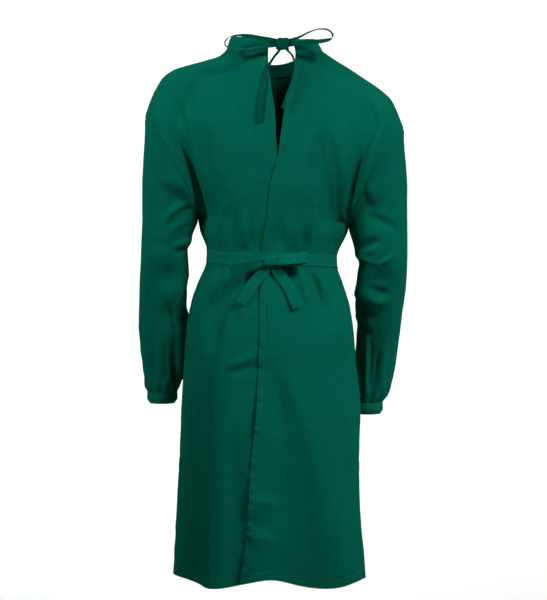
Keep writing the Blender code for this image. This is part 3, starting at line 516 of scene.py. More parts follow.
def hem_rise(face, s):
    """How far the hem is lifted: at the centre of the back, where the two edges lap."""
    lift = np.where(face < 0, HEM_LIFT_BACK, HEM_LIFT_FRONT)
    return lift * bell(s, 0.22) + HEM_WAVE * np.cos(s * 9.0)


def ring_columns(z, *names):
    """The named columns of the body's rings at the heights z."""
    return (column(RINGS, RING_COLUMNS, name, z) for name in names)


def body_ring(face, s, t):
    """A point below the armpits: an ellipse's quarter from the centre line to the side seam."""
    armpit = np.where(s < 0, sleeve_ring(-1, 0.0)[3], sleeve_ring(1, 0.0)[3])
    top = YOKE[0][1] * MM + (armpit - YOKE[0][1] * MM) * s * s
    hem = RINGS[0][0] * MM + hem_rise(face, s)
    z = hem + (top - hem) * t
    left, right, depth = ring_columns(z, "left", "right", "back" if face < 0 else "front")
    middle = (left + right) / 2
    half = (right - left) / 2
    edge = np.where(s < 0, sleeve_point(-1, 0.5, 0.0)[0], sleeve_point(1, 0.5, 0.0)[0])
    half = half + (np.abs(edge - middle) - half) * ease((t - 0.9) / 0.1)
    x = middle + half * np.sin(s * np.pi / 2)
    y = face * depth * np.cos(s * np.pi / 2) + sleeve_point(1, 0.5, 0.0)[1] * s * s * ease(t)
    return np.stack([x, y, z], axis=-1)


def top_line(side, face, s):
    """The neckline up to the neck's side, then the shoulder seam to the armhole, at t 2."""
    a = np.clip(s / NECK_SIDE, 0, 1) * np.pi / 2
    centre = np.asarray(YOKE[-1], float) * MM
    centre_z, depth = (centre[1], centre[2]) if face < 0 else (centre[3], centre[4])
    rows = np.asarray(SHOULDERS[side], float) * MM
    neck = np.stack([rows[0, 0] * np.sin(a), face * depth * np.cos(a),
                     rows[0, 1] + (centre_z - rows[0, 1]) * np.cos(a) ** 1.5], axis=-1)
    steps = np.r_[0, np.cumsum(np.hypot(*np.diff(rows, axis=0).T))]
    share = np.clip((s - NECK_SIDE) / (1 - NECK_SIDE), 0, 1)
    along = smooth(steps / steps[-1], rows, share)
    end_y = sleeve_point(side, 0.0, 0.0)[1]
    seam = np.stack([along[..., 0], end_y * share, along[..., 1]], axis=-1)
    line = np.where((s < NECK_SIDE)[..., None], neck, seam)
    line[..., 0] *= side
    return line


def yoke_row(side, face, s, t):
    """An arc from the centre line to the armhole; s runs 0 to 1 from the centre."""
    centre = smooth([row[0] for row in YOKE], np.asarray(YOKE, float)[:, 1:] * MM, t)
    zc, yc = (centre[..., 0], centre[..., 1]) if face < 0 else (centre[..., 2], centre[..., 3])
    middle = RINGS[-1][1] + RINGS[-1][2]
    xc = middle / 2 * MM * (1 - ease(t - 1))
    end = armhole(side, face, t)
    arc = np.pi / 2 + (ARC - np.pi / 2) * ease((t - 1) / 0.5)
    x = xc + (end[..., 0] - xc) * np.sin(s * arc) / np.sin(arc)
    y = face * yc + (end[..., 1] - face * yc) * (1 - np.cos(s * arc)) / (1 - np.cos(arc))
    z = zc + (end[..., 2] - zc) * s * s
    return np.stack([x, y, z], axis=-1)


def yoke(face, s, t):
    """A point above the armpits: the arc, bent at the top into neckline and shoulder seam.

    The bend's soft part is a polynomial through its values at a third and two thirds of the row.
    It grows with the cube of the height, and what is left, the neck's corner, only near the top.
    """
    points = np.zeros(s.shape + (3,))
    height = np.clip(t - 1, 0, 1)[..., None]
    near = np.abs(s)
    for side in (-1, 1):
        third, two_thirds, bend = (
            top_line(side, face, x) - yoke_row(side, face, x, np.full_like(t, 2.0))
            for x in (np.full_like(near, 1 / 3), np.full_like(near, 2 / 3), near))
        share = near[..., None]
        soft = share ** 2 * (1 - share) * ((27 - 40.5 * share) * third
                                           + (20.25 * share - 6.75) * two_thirds)
        half = yoke_row(side, face, near, t) + soft * height ** 3 + (bend - soft) * height ** 9
        points = np.where((s * side >= 0)[..., None], half, points)
    return points


def body_point(face, s, t):
    """The gown's outer surface, back (face -1) or front (face 1), before folds."""
    s, t = np.broadcast_arrays(np.asarray(s, float), np.asarray(t, float))
    lower = body_ring(face, s, np.clip(t, 0, 1))
    upper = yoke(face, s, np.clip(t, 1, 2))
    return np.where((t <= 1)[..., None], lower, upper)


def grid_normals(points, outward):
    """Unit normals of a grid of points, turned to the outward side."""
    down = np.gradient(points, axis=0)
    across = np.gradient(points, axis=1)
    return outward * unit(np.cross(across, down))


def line_gap(flat, start, end, bend):
    """Distance of flat points from a bent line, signed, and the share of the way along it."""
    run = end - start
    length = np.hypot(*run)
    across = np.array([-run[1], run[0]]) / length
    share = np.clip((flat - start) @ run / length ** 2, 0, 1)
    middle = start + share[..., None] * run + (bend * 4 * share * (1 - share))[..., None] * across
    away = flat - middle
    return np.linalg.norm(away, axis=-1) * np.where(away @ across < 0, -1, 1), share


def fold_height(points, table):
    """Sum of the folds at the points: each a soft ridge or trough along a bent line in X, Z."""
    total = np.zeros(points.shape[:-1])
    flat = points[..., (0, 2)]
    for x1, z1, x2, z2, bend, width, depth in np.asarray(table, float) * MM:
        gap, share = line_gap(flat, np.array([x1, z1]), np.array([x2, z2]), bend)
        taper = np.sin(np.pi * np.clip(share, 0.02, 0.98)) ** 0.6
        if z2 < RINGS[0][0] * MM + 0.03:
            taper = np.sin(np.pi / 2 * np.clip(share, 0.02, 1)) ** 0.6
        reach = width * np.where(gap > 0, STEEP, SHALLOW)
        total += depth * taper * bell(gap, reach)
    return FOLD_DEPTH * total


def crease_height(flat, table):
    """Sum of creases on flat points: a narrow trough with a softer swell along one side of it."""
    total = np.zeros(flat.shape[:-1])
    for u1, v1, u2, v2, bend, width, depth in table:
        gap, share = line_gap(flat, np.array([u1, v1]), np.array([u2, v2]), bend)
        taper = np.sin(np.pi * np.clip(share, 0.0, 1.0)) ** 0.8
        swell = 0.5 * bell(gap - 1.9 * width, 1.3 * width)
        reach = width * np.where(gap > 0, STEEP, SHALLOW)
        total += depth * taper * (bell(gap, reach) - swell)
    return total


def crumple(u, v, seed, round_cells=LATTICE):
    """Low uneven swells with a few soft ridges, u across and v along the cloth in cells of 5 cm."""
    broad = noise(u, v * 0.5, seed, round_cells)
    ridge = 1 - np.abs(noise(u * 2, v * 1.1, seed + 1, round_cells * 2)) * 2
    fine = 1 - np.abs(noise(u * 4, v * 2.3, seed + 2, round_cells * 4)) * 2
    return (1.5 * broad + 0.55 * ridge + 0.22 * fine) * MM


def belt_levels():
    """The t of the belt's lower edge, middle and upper edge."""
    hem, top = RINGS[0][0] * MM, YOKE[0][1] * MM
    heights = BELT_HEIGHT + BELT_WIDTH / 2 * np.array([-1, 0, 1])
    return (heights - hem) / (top - hem)


def belt_gathers(s, t, seed):
    """Short uneven pleats that start beside the belt and run out within a hand's width."""
    middle = belt_levels()[1]
    away = np.abs(t - middle) * SKIRT_LENGTH - BELT_WIDTH / 2
    reach = np.clip(away / (6 * MM), 0, 1) * np.exp(-np.clip(away, 0, None) / PLEAT_RUN)
    across = s * HALF_WIDTH
    pleats = (noise(across / PLEAT_WIDE, t * 3.0, seed)
              + 0.6 * noise(across / PLEAT_BROAD, t * 2.0, seed + 1))
    return PLEAT_DEPTH * pleats * reach


def held_flat(t, s, at_belt=0.09, at_seam=0.16):
    """Share of the folds that is left: none under the belt and at seams, more further away."""
    _, middle, high = belt_levels()
    belt = ease((np.abs(t - middle) - 1.1 * (high - middle)) / at_belt)
    side = ease((1 - np.abs(s)) / at_seam)
    top = ease((2 - t) / 0.18)
    return belt * side * top


def seam_roll(away, high, wide):
    """A soft roll beside a seam: nothing on the seam, highest one width from it, then fading."""
    share = np.clip(away, 0, None) / wide
    return high * share * np.exp(1 - share)


def groove(away, depth, wide):
    """The line that a row of stitches pulls into the cloth."""
    return -depth * bell(away, wide)


def panel_levels():
    """The t of a panel's rows, closest at the hem, the belt and the shoulder seam.

    Each part runs from one t to the next in so many rows.
    """
    low, _, high = belt_levels()
    parts = ((0, 0.045, 16), (0.045, low - 0.03, 160), (low - 0.03, high + 0.03, 18),
             (high + 0.03, 1, 22), (1, 1.94, 66), (1.94, 2, 12))
    rows = [np.linspace(a, b, n + 1)[:-1] for a, b, n in parts]
    return np.concatenate(rows + [[2.0]])


def crowd(count, share=0.6):
    """Steps from 0 to 1 that lie closer at both ends."""
    q = np.linspace(0, 1, count)
    return q - share * np.sin(2 * np.pi * q) / (2 * np.pi)


def edge_share(side, t):
    """The s of a back's free edge at the levels t, from its distance to the centre line."""
    name = "right" if side > 0 else "left"
    centre = body_point(-1, np.zeros_like(t), t)
    away = column(EDGES, EDGE_COLUMNS, name, centre[:, 2])
    probe = body_point(-1, np.full_like(t, PROBE), t)
    return away / (probe[:, 0] - centre[:, 0]) * PROBE


def overlap_lift(side, s, points):
    """How far a back's wall leaves the shared surface where the backs lap.

    The right back rises and the left one sinks over 5 cm below the slit's end. Both come back to
    the shared surface between a quarter and a half of the way to the side seam.
    """
    below = ease((MEET_HEIGHT + 0.07 - points[..., 2]) / 0.05)
    near = 1 - ease((np.abs(s) - 0.24) / 0.26)
    return (OVER_LIFT if side > 0 else -UNDER_DROP) * near * below


def panel_detail(face, s, t, base, folds, creases, seed):
    """Height of a panel's cloth over its plain surface: folds, creases, swells, pleats, seams."""
    sizes = bpy.context.scene.gown_sizes
    held = held_flat(t, s)
    fine = np.array(creases, float) * MM
    flat = base[..., (0, 2)]
    height = fold_height(base, folds) * held
    height = height + sizes.crease * crease_height(flat, fine) * held_flat(t, s, 0.03, 0.05)
    across, up = s * HALF_WIDTH / SWELL_CELL, t * SKIRT_LENGTH / SWELL_CELL
    height = height + sizes.crease * crumple(across + 20, up, seed) * held
    height = height + sizes.gather * belt_gathers(s, t, seed + 7) * ease((1 - np.abs(s)) / 0.08)
    side = (1 - np.abs(s)) * HALF_WIDTH
    top = (2 - t) * YOKE_LENGTH
    pucker = 1 + 0.7 * noise(t * SKIRT_LENGTH / SIDE_PUCKER, 0, seed + 11)
    height = height + seam_roll(side, *SIDE_ROLL) * pucker
    pucker = 1 + 0.6 * noise(s * HALF_WIDTH / SHOULDER_PUCKER, 0, seed + 12)
    height = height + seam_roll(top, *SHOULDER_ROLL) * pucker
    hem = t * SKIRT_LENGTH - sizes.hem
    wave = 1 + 0.6 * noise(s * HALF_WIDTH / HEM_PUCKER, 0, seed + 13)
    return height + groove(hem, HEM_GROOVE[0] * wave, HEM_GROOVE[1])


def skirt_sink(s, points):
    """Height of the broad slanted sink in the skirt: low at its left line, high at its right one.

    Both lines part from each other towards the hem, and the sink's depth grows with their distance.
    """
    z = points[..., 2]
    wide = np.clip(SINK_WIDTH - SINK_SPREAD * (z - SINK_TOP), 0.02, None)
    share = (points[..., 0] - SINK_LEFT) / wide
    profile = smooth((-0.6, -0.25, 0.0, 0.5, 0.95, 1.2, 1.6, 2.4),
                     (0, -0.03, -0.08, 0.02, 0.14, 0.11, 0.04, 0), share)
    return profile * wide * ease((-0.64 - z) / 0.12) * ease((1 - np.abs(s)) / 0.25)


def body_outline(points, side):
    """The body's outer x at each point's height and depth."""
    z = points[..., 2]
    left, right, back, front = ring_columns(z, *RING_COLUMNS[1:])
    depth = np.where(points[..., 1] < 0, back, front)
    share = np.sqrt(np.clip(1 - (points[..., 1] / depth) ** 2, 0, 1))
    return side * ((left + right) / 2 + side * (right - left) / 2 * share)


def keep_clear(points, side, gap):
    """Move points out sideways where they would come nearer to the body than the gap."""
    low = ease((WAIST_LEVEL - points[..., 2]) / 0.03)
    limit = body_outline(points, side) + gap * low
    x = side * points[..., 0]
    points[..., 0] = side * np.where(low > 0, np.maximum(x, limit), x)
    return points


def sleeve_folds(turn, along, table):
    """Sum of a sleeve's folds: soft ridges or troughs along straight lines on the unrolled tube."""
    total = np.zeros(np.broadcast(turn, along).shape)
    for round1, along1, round2, along2, width, depth in table:
        length = np.hypot(round2 - round1, along2 - along1)
        share = ((turn - round1) * (round2 - round1) + (along - along1) * (along2 - along1))
        share = np.clip(share / length ** 2, 0, 1)
        gap = np.hypot(turn - round1 - share * (round2 - round1),
                       along - along1 - share * (along2 - along1))
        taper = np.sin(np.pi * np.clip(share, 0.05, 0.95)) ** 0.6
        total = total + depth * MM * taper * bell(gap, width)
    return total


def gathers(turn, along, seed):
    """Waves round the sleeve that start above the cuff and narrow into its seam."""
    grow = ease((along - GATHERS_START) / 0.18) * (1 - 0.35 * ease((along - 0.93) / 0.07))
    main = GATHER_DEPTH * np.cos(2 * np.pi * CUFF_GATHERS * turn + np.pi)
    fine = 1.3 * MM * noise(turn * FINE_GATHERS, along * 3, seed, FINE_GATHERS)
    return grow * (main + fine * ease((along - 0.84) / 0.1))


# ---------------------------------------------------------------- meshes

def flow(points, closed=False):
    """Cloth coordinates of a grid: distance across each row and up each column, in metres."""
    if closed:
        points = np.concatenate([points, points[:, :1]], axis=1)
    across = np.linalg.norm(np.diff(points, axis=1), axis=-1)
    across = np.concatenate([np.zeros((len(points), 1)), np.cumsum(across, axis=1)], axis=1)
    up = np.linalg.norm(np.diff(points, axis=0), axis=-1)
    up = np.concatenate([np.zeros((1, points.shape[1])), np.cumsum(up, axis=0)], axis=0)
    middle = across[:, across.shape[1] // 2][:, None]
    return np.stack([across - middle, up], axis=-1)


def shell(name, outer, inner, material, flip=False, closed=False, wear=None):
    """Closed thin wall between an outer and an inner grid, closed round when it is a tube.

    Faces are the outer grid, the inner grid turned over, and a strip along each open rim.
    """
    rows, columns = outer.shape[:2]
    count = rows * columns
    number = np.arange(count).reshape(rows, columns)
    wide = np.c_[number, number[:, :1]] if closed else number
    a, b, c, d = wide[:-1, :-1], wide[:-1, 1:], wide[1:, 1:], wide[1:, :-1]
    skin = np.stack([a, b, c, d], axis=-1).reshape(-1, 4)
    cloth = flow(outer, closed)
    corners = np.stack([cloth[:-1, :-1], cloth[:-1, 1:], cloth[1:, 1:], cloth[1:, :-1]],
                       axis=2).reshape(-1, 4, 2)
    faces, uvs = [skin, skin[:, ::-1] + count], [corners, corners[:, ::-1]]
    if closed:
        rims = [np.stack([wide[0, 1:], wide[0, :-1]], -1),
                np.stack([wide[-1, :-1], wide[-1, 1:]], -1)]
    else:
        loop = np.r_[number[0, :-1], number[:-1, -1], number[-1, :0:-1], number[:0:-1, 0]]
        rims = [np.stack([np.roll(loop, -1), loop], -1)]
    place = cloth[:, :columns].reshape(-1, 2)
    for rim in rims:
        faces.append(np.concatenate([rim, rim[:, ::-1] + count], axis=1))
        uvs.append(place[np.concatenate([rim, rim[:, ::-1]], axis=1)])
    faces, uvs = np.concatenate(faces), np.concatenate(uvs)
    if flip:
        faces, uvs = faces[:, ::-1], uvs[:, ::-1]
    points = np.concatenate([outer.reshape(-1, 3), inner.reshape(-1, 3)])
    if wear is not None:
        wear = np.tile(wear.reshape(-1), 2)
    return solid(name, points, faces, material, uvs, wear)


def solid(name, points, faces, material, uvs=None, wear=None):
    """A smooth mesh object from whole arrays of points, four-sided faces and cloth coordinates."""
    mesh = bpy.data.meshes.new(name)
    count = len(faces)
    mesh.vertices.add(len(points))
    mesh.vertices.foreach_set("co", np.asarray(points, np.float32).ravel())
    mesh.loops.add(count * 4)
    mesh.loops.foreach_set("vertex_index", np.asarray(faces, np.int32).ravel())
    mesh.polygons.add(count)
    mesh.polygons.foreach_set("loop_start", np.arange(0, count * 4, 4, dtype=np.int32))
    mesh.update(calc_edges=True)
    layer = mesh.uv_layers.new(name="cloth")
    if uvs is None:
        uvs = np.asarray(points)[np.asarray(faces)][..., (0, 2)]
    layer.data.foreach_set("uv", np.asarray(uvs, np.float32).ravel())
    attribute = mesh.attributes.new("wear", "FLOAT", "POINT")
    wear = np.zeros(len(points)) if wear is None else wear
    attribute.data.foreach_set("value", np.asarray(wear, np.float32))
    mesh.materials.append(material)
    mesh.shade_smooth()
    mesh.set_sharp_from_angle(angle=math.radians(60))
    thing = bpy.data.objects.new(name, mesh)
    bpy.context.scene.collection.objects.link(thing)
    return thing


def stitches(name, lines, material):
    """Short threads along lines: each a slim four-sided spindle, half sunk into the cloth.

    A line is its points and their normals. It is cut at equal lengths, a stitch and a gap.
    """
    sizes = bpy.context.scene.gown_sizes
    pitch = sizes.stitch * STITCH_PITCH
    starts, ways, ups = [], [], []
    for points, normals in lines:
        steps = distance(points)
        at = np.arange(pitch / 2, steps[-1] - pitch / 2, pitch)
        middle, ahead, up = (np.stack([np.interp(x, steps, v[:, k]) for k in range(3)], -1)
                             for x, v in ((at, points), (at + 0.3 * MM, points), (at, normals)))
        starts.append(middle)
        ways.append(unit(ahead - middle))
        ups.append(unit(up))
    middle, way, up = (np.concatenate(x) for x in (starts, ways, ups))
    cross = unit(np.cross(way, up))
    radius = THREAD_RADIUS
    rings = []
    for along, size in ((-0.5, 0.25), (-0.3, 1.0), (0.3, 1.0), (0.5, 0.25)):
        sink = up * (radius * (0.55 if abs(along) < 0.4 else -0.6))
        for side, lift in ((1, 0), (0, -1), (-1, 0), (0, 1)):
            rings.append(middle + way * along * sizes.stitch + sink
                         + (cross * side + up * lift) * radius * size)
    points = np.stack(rings, axis=1)
    face = [[4 * r + k, 4 * r + (k + 1) % 4, 4 * r + 4 + (k + 1) % 4, 4 * r + 4 + k]
            for r in range(3) for k in range(4)]
    face += [[3, 2, 1, 0], [12, 13, 14, 15]]
    faces = np.arange(len(points))[:, None, None] * 16 + np.array(face)[None]
    return solid(name, points.reshape(-1, 3), faces.reshape(-1, 4), material)


def ribbon(name, path, knot_at, width, thickness, material, seed):
    """A flat strip along a smooth path, pinched at the knot, its edges rounded.

    The profile is a closed loop: the outer side, then the inner side back again. It is carried
    along the path, turned as the path's last three columns say. An end near the knot runs on
    into it.
    """
    rows = np.asarray(path, float)
    for end in (0, -1):
        into = np.array(knot_at, float) - rows[end, :3]
        if np.linalg.norm(into) < KNOT_REACH:
            inside = np.r_[rows[end, :3] + 0.5 * into, rows[end, 3:]]
            rows = np.insert(rows, 0 if end == 0 else len(rows), inside, axis=0)
    at = np.linspace(0, len(rows) - 1, RIBBON_STEPS * (len(rows) - 1) + 1)
    line = smooth(np.arange(len(rows)), rows, at)
    middle = line[:, :3] * MM
    along = unit(np.gradient(middle, axis=0))
    wide = line[:, 3:] - np.sum(line[:, 3:] * along, axis=-1, keepdims=True) * along
    wide = unit(wide)
    thick = unit(np.cross(along, wide))
    length = distance(middle)
    from_knot = np.linalg.norm(middle - np.array(knot_at) * MM, axis=1)
    pinch = 1 - 0.30 * bell(from_knot, 20 * MM)
    half_width = (pinch * width / 2)[:, None]
    q = np.linspace(-1, 1, 11)
    ripple = noise(length[:, None] / 0.014, q[None] * 1.5 + 9, seed) * thickness * 0.28
    ripple = ripple + noise(length[:, None] / 0.006, q[None] * 2.5 + 5, seed + 1) * thickness * 0.12
    ripple = ripple * np.clip(np.minimum(at, at[-1] - at), 0, 1)[:, None]
    half = thickness / 2 * (0.35 + 0.65 * np.sqrt(np.clip(1 - np.abs(q) ** 6, 0, 1)))
    edge = groove((1 - np.abs(q)) * width / 2 - 2.2 * MM, 0.12 * MM, 1.0 * MM)
    crease = 1.4 * thickness * bell(from_knot, 24 * MM)
    crease = crease[:, None] * np.cos(q * 7.0 + seed)
    across = middle[:, None] + wide[:, None] * (q * half_width)[..., None]
    outer = across + thick[:, None] * (half + edge + crease + ripple)[..., None]
    inner = across - thick[:, None] * (half + edge - crease - ripple)[..., None]
    made = shell(name, outer, inner, material, flip=True)
    sides = [(outer[:, k] * 0.6 + outer[:, k + 1] * 0.4, thick) for k in (1, 8)]
    return made, sides, length[-1]


def knot(name, centre, size, material, seed):
    """A pulled knot: a rounded core creased on a slant, and a band that wraps round it.

    The core is a superellipsoid whose radius falls along slanted lines. The band is a ring in the
    plane of height and depth, leaning to one side, its section a flattened ellipse.
    """
    half = np.array(size) * MM / 2
    centre = np.array(centre) * MM
    up = np.linspace(-np.pi / 2 * 0.985, np.pi / 2 * 0.985, 41)[:, None]
    turn = (np.arange(72) / 72 * 2 * np.pi)[None]

    def power(x, p):
        return np.sign(x) * np.abs(x) ** p

    x = power(np.cos(up), 0.5) * power(np.cos(turn), 0.55)
    y = power(np.cos(up), 0.5) * power(np.sin(turn), 0.6)
    z = power(np.sin(up), 0.55) * np.ones_like(turn)
    slant = np.sin(7.0 * z + 2.0 * x + seed) + 0.5 * np.sin(13.0 * z - 3.0 * x + seed)
    shrink = (0.90 + 0.04 * slant)[..., None]
    core = np.stack([x, y, z], axis=-1) * half * shrink + centre
    core_inner = centre + (core - centre) * 0.9
    body = shell(name, core, core_inner, material, closed=True)
    round_it = (np.arange(80) / 80 * 2 * np.pi)[None]
    across = np.linspace(-1, 1, 21)[:, None]
    crease = (0.035 * np.sin(6 * across + 1.5 * np.sin(round_it) + seed)
              + 0.025 * np.sin(13 * across + seed))
    reach = 1.0 - 0.12 * across ** 6 + crease - 0.035
    x = (across * 0.80 * half[0] * (1 - 0.08 * np.cos(round_it))
         + 0.10 * half[0] * np.sin(round_it))
    y = power(np.cos(round_it), 0.6) * half[1] * reach
    z = power(np.sin(round_it), 0.6) * half[2] * reach
    band = np.stack([x, y, z], axis=-1) + centre
    band_inner = np.stack([x * 0.97, y * 0.84, z * 0.90], axis=-1) + centre
    wrap = shell(name + "_wrap", band, band_inner, material, closed=True)
    return body, wrap


# ---------------------------------------------------------------- materials

def wired(operation, swapped=False):
    """A Python operator that adds a Math node, its two terms in turn or swapped."""
    def act(self, other):
        return self.maker.math(operation, *((other, self) if swapped else (self, other)))
    return act


class Wire:
    """A shader value that takes part in Python sums by adding Math nodes."""

    __add__, __radd__ = wired("ADD"), wired("ADD", True)
    __mul__, __rmul__ = wired("MULTIPLY"), wired("MULTIPLY", True)
    __rsub__ = wired("SUBTRACT", True)
    __gt__ = wired("GREATER_THAN")

    def __init__(self, maker, socket):
        self.maker = maker
        self.socket = socket


class Maker:
    """Adds nodes to one material."""

    def __init__(self, name):
        self.material = bpy.data.materials.new(name)
        self.material.use_nodes = True
        self.tree = self.material.node_tree
        self.shader = self.tree.nodes["Principled BSDF"]

    def feed(self, socket, value):
        """Link a wire into a socket, or set the socket's own value."""
        if isinstance(value, Wire):
            self.tree.links.new(value.socket, socket)
        else:
            socket.default_value = value

    def node(self, kind, settings=None, values=None, out=0):
        """Any node: its type, its settings, what its sockets get, and which output is used."""
        made = self.tree.nodes.new(kind)
        for key, value in (settings or {}).items():
            setattr(made, key, value)
        for key, value in (values or {}).items():
            self.feed(made.inputs[key], value)
        return Wire(self, made.outputs[out])

    def finish(self, values):
        """Set the surface's own sockets and give the material."""
        for key, value in values.items():
            self.feed(self.shader.inputs[key], value)
        return self.material

    def math(self, operation, *terms):
        """A Math node on two or three terms."""
        return self.node("ShaderNodeMath", {"operation": operation}, dict(enumerate(terms)))

    def mix(self, factor, first, second):
        """First colour where the factor is 0, second where it is 1."""
        values = {0: factor, 6: first, 7: second}
        return self.node("ShaderNodeMix", {"data_type": "RGBA"}, values, 2)

    def noise(self, vector, scale, detail=2.0):
        """Smooth noise from 0 to 1."""
        return self.node("ShaderNodeTexNoise", None,
                         {"Vector": vector, "Scale": scale, "Detail": detail})


def shade(colour, factor):
    """A colour made darker or lighter, with full cover."""
    return (*(c * factor for c in colour[:3]), 1.0)


def cloth_material(name, colour, roughness):
    """Plain-weave cotton: crossing threads, slubs, faint colour drift and paler worn edges."""
    made = Maker(name)
    cloth = made.node("ShaderNodeUVMap", {"uv_map": "cloth"})
    parts = made.tree.nodes.new("ShaderNodeSeparateXYZ")
    made.feed(parts.inputs[0], cloth)
    u, v = Wire(made, parts.outputs[0]), Wire(made, parts.outputs[1])
    warp = made.math("SINE", u * (math.pi / WEAVE_PITCH))
    weft = made.math("SINE", v * (math.pi / WEAVE_PITCH))
    over = (warp * weft) > 0.0
    weave = over * made.math("ABSOLUTE", warp) + (1.0 - over) * made.math("ABSOLUTE", weft)
    slub_u, slub_v = (
        made.noise(made.node("ShaderNodeMapping", None, {"Vector": cloth, "Scale": scale}), 1.0)
        for scale in ((1400.0, 60.0, 1.0), (60.0, 1400.0, 1.0)))
    place = made.node("ShaderNodeTexCoord", None, None, OBJECT_PLACE)
    drift = made.noise(place, 9.0, 3.0)
    grain = made.noise(place, 420.0, 2.0)
    wear = made.node("ShaderNodeAttribute", {"attribute_name": "wear"}, None, ATTRIBUTE_VALUE)
    tone = 0.30 * drift + 0.22 * slub_u + 0.22 * slub_v + 0.14 * grain + 0.12 * weave
    base = made.mix(tone, shade(colour, 0.72), shade(colour, 1.28))
    base = made.mix(wear * (0.35 + 0.65 * grain), base, shade(colour, 1.75))
    height = 0.55 * weave + 0.25 * slub_u + 0.25 * slub_v + 0.5 * grain
    bump = made.node("ShaderNodeBump", None,
                     {"Strength": WEAVE_BUMP, "Distance": THREAD_HEIGHT, "Height": height})
    return made.finish({
        "Base Color": base, "Roughness": roughness - 0.10 + 0.20 * drift,
        "Specular IOR Level": 0.0, "Specular Tint": (0.12, 0.85, 0.62, 1.0),
        "Sheen Weight": 0.08, "Sheen Roughness": 0.45, "Sheen Tint": (0.05, 0.75, 0.50, 1.0),
        "Normal": bump})


def plain_material(name, colour, roughness):
    """A plain painted or thread-like surface with a faint grain."""
    made = Maker(name)
    place = made.node("ShaderNodeTexCoord", None, None, OBJECT_PLACE)
    grain = made.noise(place, 30.0, 2.0)
    base = made.mix(grain, shade(colour, 0.98), shade(colour, 1.02))
    return made.finish({"Base Color": base, "Roughness": roughness})


def materials():
    """The gown's finishes by name, made once."""
    colours = bpy.context.scene.gown_colours
    found = {}
    for name, colour, roughness in (("gown_cloth", colours.cloth, 0.60),
                                    ("gown_band", colours.band, 0.62),
                                    # The ties' finish carries painted shade: its colour is darker
                                    # than the cloth's.
                                    ("gown_tape_painted_shade", colours.tape, 0.64)):
        found[name] = bpy.data.materials.get(name) or cloth_material(name, colour, roughness)
    name = "gown_thread"
    found[name] = bpy.data.materials.get(name) or plain_material(name, colours.thread, 0.6)
    return found


# ---------------------------------------------------------------- pieces

def sided(name, side):
    """A piece's name with the wearer's side that it is on."""
    return name + ("_right" if side > 0 else "_left")


def hand_over(piece, extras, node, slot, **sheet):
    """Put a piece and its extras on the root body and hide the imported part it replaces. The
    finish and the cut it is given are not used.
    """
    for thing in (piece, *extras):
        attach(thing, "root")
    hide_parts(node)


def hem_row(t):
    """The row of a panel's grid along the top of the turned hem."""
    return int(np.argmin(np.abs(t[:, 0] * SKIRT_LENGTH - bpy.context.scene.gown_sizes.hem)))


def closed_row(row):
    """A row of points round a tube with its first one again at the end."""
    return np.concatenate([row, row[:1]])


def band_swell(share, high, ripple, rows):
    """Swell in mm across a doubled band's height, drawn in at its rows of stitches."""
    swell = high * np.sin(np.pi * share) + ripple
    for place in rows:
        swell = swell - 0.35 * bell(share - place, 0.05)
    return swell


def panel_wear(s, t, edge=None):
    """How worn the cloth is: along the hem, the seams and a free edge."""
    hem = bell(t * SKIRT_LENGTH, 2.0 * MM)
    side = bell((1 - np.abs(s)) * HALF_WIDTH, 2.5 * MM)
    top = bell((2 - t) * YOKE_LENGTH, 2.5 * MM)
    wear = 0.35 * hem + 0.12 * (side + top)
    if edge is not None:
        wear = wear + 0.45 * bell(edge, 1.8 * MM)
    return np.clip(wear, 0, 1)


def back_grid(side):
    """Outer points, normals, s, t and distance from the free edge of one back panel."""
    levels = panel_levels()
    start = (edge_share(side, levels) * side)[:, None]
    s = (start + (1 - start) * crowd(BACK_COLUMNS)[None]) * side
    t = np.broadcast_to(levels[:, None], s.shape)
    base = body_point(-1, s, t)
    normals = grid_normals(base, side)
    edge = np.r_["1", np.zeros((len(s), 1)),
                 np.cumsum(np.linalg.norm(np.diff(base, axis=1), axis=-1), axis=1)]
    height = panel_detail(-1, s, t, base, BACK_FOLDS, BACK_CREASES, 31)
    height = height + overlap_lift(side, s, base) + skirt_sink(s, base)
    sizes = bpy.context.scene.gown_sizes
    ripple = noise(t * SKIRT_LENGTH / 0.007 + edge / 0.012, side + 4, 57)
    free = ease((2 - t) / 0.05)
    pulled = 0.4 + ease((-0.56 - base[..., 2]) / 0.12)
    height = height + groove(edge - sizes.edge_hem, EDGE_GROOVE[0] * (1 + 0.5 * ripple),
                             EDGE_GROOVE[1])
    height = height + EDGE_PUCKER * pulled * ripple * bell(edge, 12 * MM) * free
    height = height + EDGE_THICK * bell(edge, 3 * MM) * free
    if side > 0:
        stand = sum(bell(base[..., 2] - z, tall) for z, tall in EDGE_STANDS)
        height = height + EDGE_STAND_OFF * stand * bell(edge, 20 * MM)
    return base + normals * height[..., None], normals, s, t, edge


def make_back(side):
    """One back panel with its turned free edge and hem."""
    sizes = bpy.context.scene.gown_sizes
    found = materials()
    outer, normals, s, t, edge = back_grid(side)
    hem = t * SKIRT_LENGTH < sizes.hem
    wall = sizes.wall * (1 + TURNED * (hem | (edge < sizes.edge_hem)))
    name = sided("back", side)
    piece = shell(name + "_cloth", outer, outer - normals * wall[..., None], found["gown_cloth"],
                  flip=side < 0, wear=panel_wear(s, t, edge))
    row = hem_row(t)
    turned = int(np.argmin(np.abs(edge[EDGE_ROW] - sizes.edge_hem)))
    lines = [(outer[row], normals[row]), (outer[:, turned], normals[:, turned])]
    thread = stitches(name + "_stitches", lines, found["gown_thread"])
    hand_over(piece, [thread], name, "cloth", flat=(0.40, 1.13), held="draped",
              rests_on=["neckband_cloth"], area=0.33, with_pieces=[thread])


